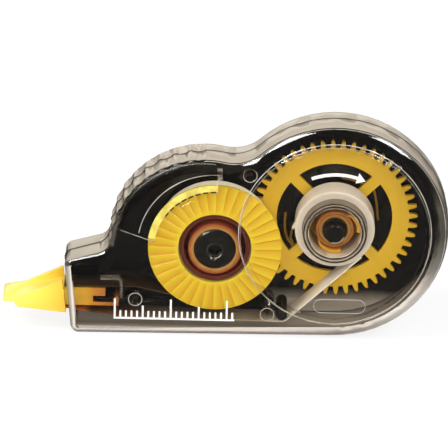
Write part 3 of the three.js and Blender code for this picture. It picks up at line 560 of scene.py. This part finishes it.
def outline_at(node, y):
    """The outer outline of a solid at one depth: the longest loop of the cut."""
    solid = bmesh.new()
    solid.from_mesh(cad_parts[node].data)
    bmesh.ops.remove_doubles(solid, verts=solid.verts, dist=WELD)
    parts = solid.verts[:] + solid.edges[:] + solid.faces[:]
    cut = bmesh.ops.bisect_plane(solid, geom=parts, plane_co=(0, y, 0), plane_no=(0, 1, 0),
                                 clear_inner=True)["geom_cut"]
    edges = [e for e in cut if isinstance(e, bmesh.types.BMEdge)]
    loops = []
    while edges:
        first, last = edges.pop(0).verts
        loop = [first, last]
        while loop[-1] is not first:
            onward = [e for e in loop[-1].link_edges if e in edges]
            if not onward:
                break
            edges.remove(onward[0])
            loop.append(onward[0].other_vert(loop[-1]))
        loops.append([v.co.copy() for v in loop])
    longest = max(loops, key=lambda lp: sum((p - q).length for p, q in zip(lp, lp[1:])))
    solid.free()
    return longest[:-1]


OUTLINE = outline_at("rear_shell", REAR_Y - 2.2 * MM)
print("outline:", len(OUTLINE), "points")


def way_out(spot):
    """The way from a point to the nearest point of the outline, in the XZ plane."""
    best = None
    for first, last in zip(OUTLINE, OUTLINE[1:] + OUTLINE[:1]):
        along = Vector((last.x - first.x, 0, last.z - first.z))
        start = Vector((spot.x - first.x, 0, spot.z - first.z))
        share = min(1.0, max(0.0, start.dot(along) / max(along.length_squared, 1e-12)))
        way = along * share - start
        if best is None or way.length < best.length:
            best = way
    return best


# %% [markdown]
# Both shells show the same warm grey band round the outside, where light runs through the thick
# edge. The rear shell is black on its face and inside, and the front shell is clear there. Each
# keeps the CAD solid's form, whose edge is already rounded in three steps, and weighted normals
# smooth the steps. The faces are then sorted by their place and by the way they face.

# %% Sort the outside of a shell
ON_OUTLINE = 0.12 * MM
WALL_DEEPEST = 0.7 * MM
EDGE_DEEPEST = 2.6 * MM
RIM_SLOT, EDGE_SLOT = 1, 2


def outer_faces(piece):
    """Faces of the outer skin, without the flat face and the lens."""
    found = []
    for face in piece.data.polygons:
        lean = abs(face.normal.y)
        if lean > 0.98 or face.center.y < FACE_Y + 0.01 * MM:
            continue
        way = way_out(face.center)
        deepest = WALL_DEEPEST if lean < 0.1 else EDGE_DEEPEST
        outward = way.x * face.normal.x + way.z * face.normal.z
        if way.length < ON_OUTLINE or (way.length < deepest and outward > 0):
            found.append(face)
    return found


def shell(name, node, slot, materials):
    piece = welded_copy(name, node, join_flats=False)
    finish_piece(piece, "housing", slot, *materials)
    for face in outer_faces(piece):
        face.material_index = RIM_SLOT if abs(face.normal.y) < 0.7 else EDGE_SLOT
    bpy.ops.object.shade_smooth_by_angle(angle=math.radians(36))
    even = piece.modifiers.new("even normals", "WEIGHTED_NORMAL")
    even.keep_sharp = True
    bpy.ops.object.modifier_apply(modifier=even.name)
    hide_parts(node)
    return piece


REAR = (BLACK_ABS, SMOKED_RIM, BLACK_ABS, LIT_FLOOR, LIT_BACK, MATT_ABS)
FRONT = (CLEAR_STYRENE, SMOKED_RIM, ROUNDED_CLEAR, CLEAR_WALL, LIT_FLOOR, DULL_CLEAR, DULL_STEP)
rear = shell("rear_shell_moulding", "rear_shell", "black_shell", REAR)
front = shell("front_shell_moulding", "front_shell", "clear_shell", FRONT)

# %% [markdown]
# What is left of each shell is its inside. Its low walls get the painted light of the lit floor, the
# rib in the nose gets the painted light of a thick wall of clear plastic, and the blind hole in the
# take-up post is too deep to shine. So is the step of the sunk window over the disc.

# %% Sort the inside of the shells
RIB_LOW = Vector((-22.5, -3.55, -1)) * MM
RIB_HIGH = Vector((-18.1, -2.3, 10.9)) * MM
GRIP_X = -1.8 * MM
GRIP_Z = 17.5 * MM
NEAR = 3.0 * MM
BACK_Y = 3.5 * MM
HOLE_RADIUS = 1.5 * MM
STEP_NEAR, STEP_FAR = 10.0 * MM, 11.0 * MM


def from_take_up(spot):
    return math.hypot(spot.x - TAKE_UP.x, spot.z - TAKE_UP.z)


def on_rib(spot):
    return all(low < v < high for low, v, high in zip(RIB_LOW, spot, RIB_HIGH))


def is_floor(face, steepest):
    """An inner face, low down and near the outline, that faces up."""
    upright = face.normal.z > 0.3 and abs(face.normal.y) < steepest
    low = face.center.z < SUPPLY.z
    return face.material_index == 0 and upright and low and way_out(face.center).length < NEAR


def is_dull_step(face):
    away = from_take_up(face.center)
    over_disc = STEP_NEAR < away < STEP_FAR and face.center.z > TAKE_UP.z
    wall = face.material_index == 0 and abs(face.normal.y) < 0.1
    return wall and (away < HOLE_RADIUS or over_disc)


for face in front.data.polygons:
    spot = face.center
    if on_rib(spot):
        face.material_index = FRONT.index(CLEAR_WALL)
    elif is_floor(face, 0.6):
        face.material_index = FRONT.index(LIT_FLOOR)
    elif face.material_index == EDGE_SLOT and spot.x < GRIP_X and spot.z > GRIP_Z:
        face.material_index = FRONT.index(DULL_CLEAR)
    elif is_dull_step(face):
        face.material_index = FRONT.index(DULL_STEP)
for face in rear.data.polygons:
    if is_floor(face, 0.95):
        face.material_index = REAR.index(LIT_FLOOR)
    elif face.normal.y < -0.9 and face.center.y > BACK_Y:
        face.material_index = REAR.index(LIT_BACK)
    elif from_take_up(face.center) < HOLE_RADIUS:
        face.material_index = REAR.index(MATT_ABS)

# %% [markdown]
# The corners of the clear moulding are what shows it is there. Each is a thin painted highlight:
# round the lens, along the steps of the sunk window over the grip, round the pin sockets and on the
# rib in the nose. A line is drawn as a path with a round section and turned into a mesh.

# %% Draw a line of light


def arc_path(centre, arc_radius, from_deg, to_deg, y, step_deg=2.0):
    steps = max(2, round(abs(to_deg - from_deg) / step_deg))
    angles = [math.radians(from_deg + (to_deg - from_deg) * i / steps) for i in range(steps + 1)]
    return [(centre.x + arc_radius * math.cos(a), y, centre.z + arc_radius * math.sin(a))
            for a in angles]


def line(name, points, width_mm, material, closed=False, slot="clear_shell", body="housing"):
    path = bpy.data.curves.new(name, "CURVE")
    path.dimensions = "3D"
    path.bevel_depth = width_mm * MM / 2
    path.bevel_resolution = 1
    path.use_fill_caps = not closed
    spline = path.splines.new("POLY")
    spline.points.add(len(points) - 1)
    for target, point in zip(spline.points, points):
        target.co = (*point, 1)
    spline.use_cyclic_u = closed
    new_piece(name, path)
    bpy.ops.object.convert(target="MESH")
    bpy.ops.object.shade_smooth_by_angle(angle=math.radians(60))
    finish_piece(bpy.context.object, body, slot, material)


def ring(name, centre, ring_radius, y, width_mm, material, step_deg=2.0):
    points = arc_path(centre, ring_radius, 0, 360 - step_deg, y, step_deg)
    line(name, points, width_mm, material, closed=True)


# %% [markdown]
# Some lines follow the outline, pushed a little out or in. The seam between the shells is one of
# them, but dark, and it stops where the applicator's neck comes out of the nose. Others lie on the
# rounded edge of the take-up lobe. Their places are known in the picture, as points of the flat
# face, so each one is moved back along the camera's line of sight until it meets the edge.

# %% Paths on the outline and on the rounded edge
MOUTH_LOW, MOUTH_HIGH = 3.9 * MM, 9.7 * MM
NOSE_X = -20 * MM
LOBE = Vector((TAKE_UP.x - 2.05 * MM, 0, TAKE_UP.z + 0.55 * MM))
LOBE_R = 16.8
EDGE_ROUND = 2.4
SIGHT_SLOPE = math.tan(math.radians(22))


def pushed_out(loop, gap):
    """A closed loop of points, each moved away from the inside of the loop."""
    turning = sum(p.x * q.z - q.x * p.z for p, q in zip(loop, loop[1:] + loop[:1]))
    side = 1 if turning > 0 else -1
    moved = []
    for before, point, after in zip(loop[-1:] + loop[:-1], loop, loop[1:] + loop[:1]):
        along = (after - before).normalized()
        moved.append(point + Vector((along.z, 0, -along.x)) * side * gap)
    return moved


def beside_the_mouth(loop):
    """The closed outline, opened where the applicator's neck comes out of the end wall."""
    for i, (first, last) in enumerate(zip(loop, loop[1:] + loop[:1])):
        crosses = min(first.z, last.z) < MOUTH_LOW and max(first.z, last.z) > MOUTH_HIGH
        if first.x < NOSE_X and crosses:
            ends = [first.lerp(last, (z - first.z) / (last.z - first.z))
                    for z in (MOUTH_HIGH, MOUTH_LOW)]
            if last.z < first.z:
                ends.reverse()
            return [ends[0], *loop[i + 1:], *loop[:i + 1], ends[1]]
    raise ValueError("the outline has no end wall")


def on_lobe(x, z):
    """The point of the lobe's rounded edge that the camera sees at this place of the face."""
    depth = 0.0
    for _ in range(8):
        away = math.hypot(x - LOBE.x / MM, z - depth * SIGHT_SLOPE - LOBE.z / MM)
        lean = min(0.99, max(0.0, 1 - (LOBE_R - away) / EDGE_ROUND))
        depth = EDGE_ROUND * (1 - math.sqrt(1 - lean * lean))
    return (x * MM, FACE_Y + (depth + 0.03) * MM, (z - depth * SIGHT_SLOPE) * MM)


# %% Lines along the outline
seam_path = [(p.x, SEAM_Y - 0.03 * MM, max(p.z, 0.1 * MM))
             for p in beside_the_mouth(pushed_out(OUTLINE, 0.08 * MM))]
rim_path = [(p.x, FACE_Y + 0.99 * MM, p.z) for p in pushed_out(OUTLINE, -0.45 * MM)]
nose_path = [(p.x, FACE_Y + 0.3 * MM, p.z) for p in pushed_out(OUTLINE, -1.16 * MM)
             if p.x < -26.2 * MM and p.z < 12.4 * MM]
line("seam_line", seam_path, 0.17, SEAM_DARK, slot="black_shell")
line("rim_corner", rim_path, 0.14, CLEAR_CORNER, closed=True)
line("nose_corner", nose_path, 0.18, CLEAR_CORNER)

# %% Lines on the lens and the sunk window
SUNK_Y = FACE_Y + 0.36 * MM
WINDOW_CENTRE = Vector((-1.93, 0, 17.2)) * MM
ring("lens_corner", SUPPLY, SUPPLY_LENS_R - 0.25 * MM, LENS_Y + 0.25 * MM, 0.12, CLEAR_WALL)
ring("lens_foot", SUPPLY, SUPPLY_LENS_R + 0.02 * MM, FACE_Y, 0.17, CLEAR_CORNER)
inner_step = arc_path(WINDOW_CENTRE, 13.7 * MM, 87, 170, SUNK_Y)
outer_step = [on_lobe(x, z) for x, _, z in arc_path(Vector((-3.98, 0, 17.25)), 15.9, 83, 169, 0)]
end_step = [on_lobe(-20.24 + 7.57 * i / 12, 20.72 - 2.71 * i / 12) for i in range(13)]
line("window_inner_step", inner_step, 0.18, CLEAR_CORNER)
line("window_outer_step", outer_step, 0.15, CLEAR_WALL)
line("window_end_step", end_step, 0.16, CLEAR_WALL)
line("window_top_line", [on_lobe(-1.7, 29.65), on_lobe(-1.55, 27.4)], 0.14, CLEAR_CORNER)

# %% [markdown]
# The black tips of both posts catch the lamps on their rounded edges, so each gets short arcs of
# painted highlight, and a dim painted ring shows where the front shell's pin sits in the take-up post.

# %% Light on the posts
CAP_Y = POST_Y + 1.2 * MM
# Painted highlights on the post tips.
ring("cap_ring", TAKE_UP, 1.4 * MM, FACE_Y + 0.3 * MM, 0.09, DIM_CORNER, 6)
line("cap_glint", arc_path(TAKE_UP, 1.35 * MM, 265, 335, FACE_Y + 0.26 * MM, 6), 0.1, CLEAR_CORNER)
for number, (start, end) in enumerate(((98, 158), (288, 352))):
    line(f"cap_edge_light_{number}", arc_path(TAKE_UP, 3.62 * MM, start, end, CAP_Y, 4), 0.12,
         DIM_CORNER, slot="black_shell")
line("post_glint", arc_path(SUPPLY, 1.58 * MM, 250, 345, POST_Y, 10), 0.16, CLEAR_CORNER,
     slot="black_shell")

# %% [markdown]
# Pins hold the shells together, and the socket of each pin shows as a small ring of painted highlight.

# %% Rings round the sockets
SOCKETS = ((4.11, 30.86), (7.71, 4.35), (-15.89, 6.7))
for number, (x, z) in enumerate(SOCKETS):
    # Each ring is a painted highlight.
    ring(f"socket_ring_{number}", Vector((x * MM, 0, z * MM)), 1.22 * MM, FACE_Y + 0.5 * MM, 0.14,
         CLEAR_CORNER, 20)

# %% [markdown]
# Beside the sunk window stands a short clear wall. Along the rim of the disc lies a thin pale lemon
# band of painted light that makes the disc look brighter there, and short painted dark dashes along
# its inner side stand for the dark gap seen through the step. Each is drawn as an outline that is
# filled and extruded.

# %% Clear wall and band of painted light


def plate(name, points, y, thick_mm, material, slot="clear_shell", body="housing"):
    """A flat outline in XZ that is filled and extruded back along Y."""
    outline = bpy.data.meshes.new(name)
    corners = [(x, y, z) for x, z in points]
    sides = [(i, (i + 1) % len(corners)) for i in range(len(corners))]
    outline.from_pydata(corners, sides, [])
    piece = new_piece(name, outline)
    bpy.ops.object.mode_set(mode="EDIT")
    bpy.ops.mesh.select_all(action="SELECT")
    bpy.ops.mesh.edge_face_add()
    thicken(thick_mm * MM)
    bpy.ops.object.shade_smooth_by_angle(angle=math.radians(30))
    finish_piece(piece, body, slot, material)


def thicken(depth):
    """Extrudes the selected faces back along Y and leaves edit mode."""
    bpy.ops.mesh.extrude_region_move(TRANSFORM_OT_translate={"value": (0, depth, 0)})
    bpy.ops.mesh.select_all(action="SELECT")
    bpy.ops.mesh.normals_make_consistent(inside=False)
    bpy.ops.object.mode_set(mode="OBJECT")


def band(name, centre, inner_mm, outer_mm, from_deg, to_deg, y, thick_mm, material):
    out = arc_path(centre, outer_mm * MM, from_deg, to_deg, y)
    back = arc_path(centre, inner_mm * MM, to_deg, from_deg, y)
    plate(name, [(x, z) for x, _, z in out + back], y, thick_mm, material)


def in_mm(points):
    return [(x * MM, z * MM) for x, z in points]


OVER_DISC = TAKE_UP + Vector((0, 0, 0.5 * MM))
WALL = in_mm(((-1.75, 32.2), (-0.85, 32.2), (-0.75, 30.05), (-1.65, 29.65)))
# A pale lemon band of painted light over the rim of the disc.
band("window_lemon_light", OVER_DISC, 10.75, 12.0, 88, 172, SUNK_Y, 0.04, LEMON_RIM_LIGHT)
plate("window_wall", WALL, FACE_Y + 0.15 * MM, 0.6, CLEAR_WALL)
# Short painted dark dashes along the band's inner side, for the dark gap seen through the step.
for number in range(8):
    start = 90 + number * 7.4
    band(f"window_tick_{number}", OVER_DISC, 10.5, 10.8, start, start + 5.0, SUNK_Y, 0.04, SEAM_DARK)

# %% [markdown]
# ## The mechanism
# Gear, clutch, core, reel and applicator keep the CAD solid's form, with the small radii that a
# mould gives them. The free strand of fresh tape is then drawn in at the roll, so that it leaves
# the roll's side without a step.

# %% Gear, clutch, core, reel, applicator and free tape
dressed("supply_gear_moulding", "supply_gear", "supply_drive", "yellow_gear", YELLOW_ACETAL, 0.06)
dressed("clutch_spring_moulding", "clutch_spring", "supply_drive", "amber_clutch", AMBER_ACETAL, 0.04)
dressed("tape_core_moulding", "tape_core", "supply_core", "grey_core", GREY_STYRENE, 0.08)
dressed("take_up_reel_moulding", "take_up_reel", "take_up", "amber_reel", AMBER_STYRENE, 0.06)
dressed("applicator_moulding", "applicator", "housing", "lemon_applicator", LEMON_ACETAL, 0.14)
strand = dressed("fresh_tape_strand", "supply_tape_run", "housing", "white_tape", FRESH_TAPE, 0.02)
STRAND_DRAWN_IN = 0.32
BESIDE_THE_ROLL = 7.9 * MM
for corner in strand.data.vertices:
    toward = SUPPLY - corner.co
    toward.y = 0
    if toward.length < BESIDE_THE_ROLL:
        corner.co += toward.normalized() * STRAND_DRAWN_IN * MM
dressed("spent_tape_strand", "used_tape_run", "housing", "spent_backing", SPENT_TAPE, 0.02)

# %% [markdown]
# Thin spring leaves stand in the gear's windows, each rooted on a spoke. A leaf is a line through
# points given by their distance and angle from the supply axle.

# %% Spring leaves
LEAF_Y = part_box("supply_gear")[1][1] - 0.5 * MM
LEAVES = (((8.7, 37), (8.3, 30), (8.0, 22), (7.75, 12), (7.7, 2), (7.85, -3)),
          ((8.8, 176), (8.9, 185), (9.2, 197), (9.4, 208), (9.3, 219)),
          ((6.9, 186), (7.8, 197), (8.8, 208), (9.2, 219)),
          ((7.6, 82), (7.7, 72), (7.9, 62), (8.2, 51)))


def polar(axle, steps, y):
    turned = [(r * MM, math.radians(a)) for r, a in steps]
    return [(axle.x + r * math.cos(a), y, axle.z + r * math.sin(a)) for r, a in turned]


for number, steps in enumerate(LEAVES):
    line(f"gear_leaf_{number}", polar(SUPPLY, steps, LEAF_Y), 0.5, DIM_ACETAL,
         slot="yellow_gear", body="supply_drive")

# %% [markdown]
# ## The rolls of tape
# A roll is turned from one circle, step by step: outward along the face, back along the outside,
# and home along the rear. The turns on the face never end quite level, so each ring of the face is
# pushed in or out by a few hundredths of a millimetre.

# %% Turn a piece from a circle


def start_circle(name, centre, at_radius, count):
    bpy.ops.mesh.primitive_circle_add(vertices=count, radius=at_radius, fill_type="NOTHING",
                                      location=centre, rotation=(math.pi / 2, 0, 0))
    piece = bpy.context.object
    piece.name = name
    bpy.ops.object.transform_apply(location=True, rotation=True, scale=True)
    piece["axle"] = tuple(centre)
    bpy.ops.object.mode_set(mode="EDIT")
    bpy.ops.mesh.select_all(action="SELECT")
    return piece


def extrude_ring(scale, lift=0.0):
    """Extrudes the selected loop of edges, then scales it about its axle and moves it along Y."""
    bpy.ops.mesh.extrude_edges_move()
    centre = bpy.context.object["axle"]
    bpy.ops.transform.resize(value=(scale, 1, scale), center_override=centre)
    bpy.ops.transform.translate(value=(0, lift, 0))


def close_up(piece):
    """Joins the last ring to the first, turns the faces outwards and leaves edit mode."""
    bpy.ops.mesh.select_all(action="SELECT")
    bpy.ops.mesh.remove_doubles(threshold=WELD / 2)
    bpy.ops.mesh.normals_make_consistent(inside=False)
    bpy.ops.object.mode_set(mode="OBJECT")
    del piece["axle"]


# %% Rolls
UNEVEN = 0.05 * MM
ROUNDED = 0.12 * MM
CORE_DRUM_RADIUS = 5.85 * MM
REEL_DRUM_RADIUS = 6.4 * MM


def roll(name, node, inner_radius, body, slot, material, layers):
    low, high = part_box(node)
    centre = middle(node)
    front_y = low[1]
    piece = start_circle(name, Vector((centre.x, front_y, centre.z)), inner_radius, 128)
    outer = radius(node)
    now = inner_radius
    level = 0.0
    for i in range(1, layers + 1):
        target = inner_radius + (outer - inner_radius) * i / layers
        wanted = UNEVEN * (0.5 + 0.5 * math.sin(i * 2.4)) if i < layers else ROUNDED
        extrude_ring(target / now, wanted - level)
        now = target
        level = wanted
    extrude_ring(1.0, high[1] - front_y - level)
    extrude_ring(inner_radius / outer)
    extrude_ring(1.0, front_y - high[1])
    close_up(piece)
    bpy.ops.object.shade_smooth_by_angle(angle=math.radians(38))
    finish_piece(piece, body, slot, material)
    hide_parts(node)


roll("fresh_tape_roll", "tape_roll", CORE_DRUM_RADIUS, "supply_core", "white_tape", FRESH_ROLL, 10)
roll("spent_tape_roll", "used_tape_roll", REEL_DRUM_RADIUS, "take_up", "spent_backing", SPENT_ROLL, 14)

# %% [markdown]
# The tape's stuck end shows as a small white tag on the left of the roll.

# %% Tag
TAG = in_mm(((12.45, 21.6), (11.75, 20.25), (11.95, 19.9), (12.6, 20.5)))
TAG_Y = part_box("tape_roll")[0][1] + 0.3 * MM
plate("tape_tag", TAG, TAG_Y, 0.5, FRESH_ROLL, "white_tape", "supply_core")

# %% [markdown]
# ## The fluted disc
# The disc is a shallow cone with thirty-six moulded flutes, each a sloping blade with a sharp step.
# It starts as a circle round the opening and is drawn out to the rim in steps, as a potter would.
# The flutes are then pressed in, deepest near the rim.

# %% Fluted disc
FLUTES = 36
AROUND = FLUTES * 8
FLUTE_DEPTH = 0.26 * MM
DISC_THICK = 0.55 * MM
OPENING_RADIUS = 6.5 * MM


def press_flutes(piece, face_y, rim):
    """Turns the front of the disc into thirty-six sloping blades, each a step below the last."""
    front_limit = face_y + DISC_THICK * 0.9 + 0.45 * MM
    slopes = piece.data.attributes.new("slope", "FLOAT", "POINT")
    for index, corner in enumerate(piece.data.vertices):
        x = corner.co.x - TAKE_UP.x
        z = corner.co.z - TAKE_UP.z
        away = math.hypot(x, z)
        share = (away - OPENING_RADIUS - 0.2 * MM) / (rim - OPENING_RADIUS)
        if share <= 0 or corner.co.y > front_limit or away > rim - 0.02 * MM:
            continue
        turn = FLUTES * math.atan2(z, x) / math.tau
        slope = (turn + 0.001) % 1.0
        slopes.data[index].value = slope
        corner.co.y += FLUTE_DEPTH * min(1.0, 0.5 + share) * slope


def fluted_disc():
    low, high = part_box("take_up_disc")
    rim = radius("take_up_disc")
    cone = high[1] - low[1] - DISC_THICK
    centre = Vector((TAKE_UP.x, high[1], TAKE_UP.z))
    piece = start_circle("fluted_disc", centre, OPENING_RADIUS, AROUND)
    extrude_ring(1.0, low[1] - high[1] + ROUNDED)
    extrude_ring(1 + ROUNDED / OPENING_RADIUS, -ROUNDED)
    now = OPENING_RADIUS + ROUNDED
    for share in (0.2, 0.5, 0.8, 0.93):
        target = OPENING_RADIUS + (rim - OPENING_RADIUS) * share
        extrude_ring(target / now, cone * (target - now) / (rim - OPENING_RADIUS))
        now = target
    extrude_ring((rim - ROUNDED) / now, cone * 0.06)
    extrude_ring(rim / (rim - ROUNDED), 0.14 * MM)
    extrude_ring(1.0, DISC_THICK - 0.2 * MM)
    extrude_ring(OPENING_RADIUS / rim, 0.06 * MM)
    close_up(piece)
    press_flutes(piece, low[1], rim)
    bpy.ops.object.shade_smooth_by_angle(angle=math.radians(24))
    finish_piece(piece, "take_up", "lemon_disc", LEMON_STYRENE)
    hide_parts("take_up_disc")


fluted_disc()

# %% [markdown]
# ## The print
# Dispensers carry white print on the clear shell. This one has plain marks only: a ruler of ticks
# along the bottom, an empty rounded frame on the lens, and an arrow that shows which way it rolls.
# Screen print is a few hundredths of a millimetre of white ink, so each mark is a thin raised plate.

# %% White print
INK = 0.03 * MM
INK_LINE = 0.34
PRINT_Y = FACE_Y - 0.01 * MM
LENS_PRINT_Y = LENS_Y - 0.01 * MM


def ink_run(name, start, step, count, width, height):
    """A row of equal bars, drawn once and repeated by an array."""
    bpy.ops.object.select_all(action="DESELECT")
    place = (start[0] * MM, PRINT_Y, (start[1] + height / 2) * MM)
    bpy.ops.mesh.primitive_plane_add(size=1.0, rotation=(math.pi / 2, 0, 0), location=place)
    bar = bpy.context.object
    bar.name = name
    bar.scale = (width * MM, height * MM, 1)
    bpy.ops.object.transform_apply(location=True, rotation=True, scale=True)
    if count > 1:
        row = bar.modifiers.new("repeat", "ARRAY")
        row.count = count
        row.use_relative_offset = False
        row.use_constant_offset = True
        row.constant_offset_displace = (step * MM, 0, 0)
        bpy.ops.object.modifier_apply(modifier=row.name)
    bpy.ops.object.mode_set(mode="EDIT")
    bpy.ops.mesh.select_all(action="SELECT")
    thicken(INK)
    return bar


bars = [
    ink_run("base_line", (-8.9, 3.1), 0, 1, 21.6, INK_LINE),
    ink_run("short_ticks", (-19.5, 3.4), 1, 22, INK_LINE, 1.3),
    ink_run("middle_ticks", (-14.5, 4.7), 10, 2, INK_LINE, 1.0),
    ink_run("long_ticks", (-19.5, 4.7), 10, 3, INK_LINE, 2.3),
]
select_only(bars[0])
for bar in bars:
    bar.select_set(True)
bpy.ops.object.join()
bars[0].name = "printed_ruler"
finish_piece(bars[0], "housing", "clear_shell", WHITE_INK)

# %% Arrow and empty frame
HEAD_AT = math.radians(66)
HEAD_BACK = HEAD_AT + 0.11
ARROW_HEAD = [(SUPPLY.x + r * MM * math.cos(a), SUPPLY.z + r * MM * math.sin(a))
              for r, a in ((11.9, HEAD_AT - 0.02), (12.9, HEAD_BACK), (10.9, HEAD_BACK))]
band("printed_arrow_shaft", SUPPLY, 11.6, 12.2, 72, 112, LENS_PRINT_Y, 0.03, WHITE_INK)
plate("printed_arrow_head", ARROW_HEAD, LENS_PRINT_Y, 0.03, WHITE_INK)


def lozenge(x, z, half_length, half_height, y):
    ends = []
    for side, first in ((1, -90), (-1, 90)):
        end = Vector((x + side * half_length, 0, z)) * MM
        ends += arc_path(end, half_height * MM, first, first + 180, y, 15)
    return ends


line("printed_frame", lozenge(20.55, 6.95, 3.3, 1.3, LENS_PRINT_Y + 0.01 * MM), 0.05, WHITE_INK, True)

# %% [markdown]
# ## Studio
# The photograph was taken from a little above with a long lens, nearly square to the front, and the
# object leans by a degree in the picture.

# %% Camera
CAMERA_ELEVATION = math.radians(22)
CAMERA_ROLL = math.radians(1.33)
CAMERA_DISTANCE = 0.9
PICTURE_WIDTH = 0.08
AIM = Vector((-0.35, 1.39, 19.39)) * MM
SENSOR = 36.0

view_from = Vector((0, -math.cos(CAMERA_ELEVATION), math.sin(CAMERA_ELEVATION)))
camera_data = bpy.data.cameras.new("camera")
camera_data.sensor_width = SENSOR
camera_data.lens = SENSOR * CAMERA_DISTANCE / PICTURE_WIDTH
camera_data.clip_end = 10
camera = bpy.data.objects.new("camera", camera_data)
bpy.context.collection.objects.link(camera)
camera.location = AIM + view_from * CAMERA_DISTANCE
tilt = Matrix.Rotation(math.pi / 2 - CAMERA_ELEVATION, 3, "X")
roll_turn = Matrix.Rotation(CAMERA_ROLL, 3, "Z")
camera.rotation_euler = (tilt @ roll_turn).to_euler()
bpy.context.scene.camera = camera

# %% [markdown]
# A soft box behind gives the glossy rim its pale band. Two keys at the front corners and a wide
# fill light the yellow parts evenly. The fill doesn't show in the gloss, where it would lie as a
# grey veil. Two larger cards show only there, as the photograph's broad streaks.

# %% Soft boxes
AIMED_AT = Vector((0, 0, 0.02))


def soft_box(name, place, size, radiance, tint="#ffffff", diffuse=True, glossy=True):
    """A rectangular lamp that faces the object. radiance is how bright its face looks."""
    lamp = bpy.data.lights.new(name, "AREA")
    lamp.shape = "RECTANGLE"
    lamp.size, lamp.size_y = size
    lamp.energy = radiance * math.pi * size[0] * size[1]
    lamp.color = linear(tint)[:3]
    holder = bpy.data.objects.new(name, lamp)
    bpy.context.collection.objects.link(holder)
    holder.location = place
    holder.rotation_euler = (Vector(place) - AIMED_AT).to_track_quat("Z", "Y").to_euler()
    holder.visible_camera = False
    holder.visible_diffuse = diffuse
    holder.visible_glossy = glossy


soft_box("back box", (0.0, 1.2, 0.28), (1.1, 0.4), 1.6, "#fff6e8")
soft_box("left key", (-0.614, -0.28, 0.76), (0.2, 0.32), 26.0)
soft_box("right key", (0.614, -0.28, 0.76), (0.16, 0.26), 22.0)
soft_box("front fill", (0.0, -1.15, 0.75), (1.3, 0.9), 2.6, glossy=False)
soft_box("left card", (-0.5, -0.34, 0.76), (0.42, 0.5), 20.0, diffuse=False)
soft_box("right card", (0.59, -0.31, 0.68), (0.36, 0.44), 20.0, diffuse=False)

# %% [markdown]
# A white floor and a white room stand round the object. The camera sees both as pure white, but the
# gloss sees them darker, so that black plastic stays black.

# %% Floor and room
bpy.ops.object.select_all(action="DESELECT")
bpy.ops.mesh.primitive_plane_add(size=6.0, location=(0, 0, 0))
floor = bpy.context.object
floor.name = "floor"
paper, tree = blank_material("white studio paper")
rays = add(tree, "ShaderNodeLightPath").outputs
matt, dull = [
    add(tree, "ShaderNodeBsdfDiffuse", {"Color": linear(code)}).outputs["BSDF"]
    for code in ("#f4f4f4", "#5c5c5c")]
white = add(tree, "ShaderNodeEmission", {"Color": WHITE, "Strength": 1.0}).outputs["Emission"]
lit = mix_shaders(tree, maths(tree, "MULTIPLY", rays["Is Camera Ray"], 0.85), matt, white)
surfaced(paper, mix_shaders(tree, rays["Is Glossy Ray"], lit, dull))
floor.data.materials.append(paper)

world = bpy.data.worlds.new("room")
bpy.context.scene.world = world
world.use_nodes = True
room = world.node_tree
room.nodes.clear()
rays = add(room, "ShaderNodeLightPath").outputs
bright, dim, dark = [
    add(room, "ShaderNodeBackground", {"Color": WHITE, "Strength": strength}).outputs["Background"]
    for strength in (1.0, 0.5, 0.12)]
unseen = mix_shaders(room, rays["Is Glossy Ray"], dim, dark)
around = mix_shaders(room, rays["Is Camera Ray"], unseen, bright)
add(room, "ShaderNodeOutputWorld", {"Surface": around})
bpy.context.scene.view_settings.view_transform = "Standard"
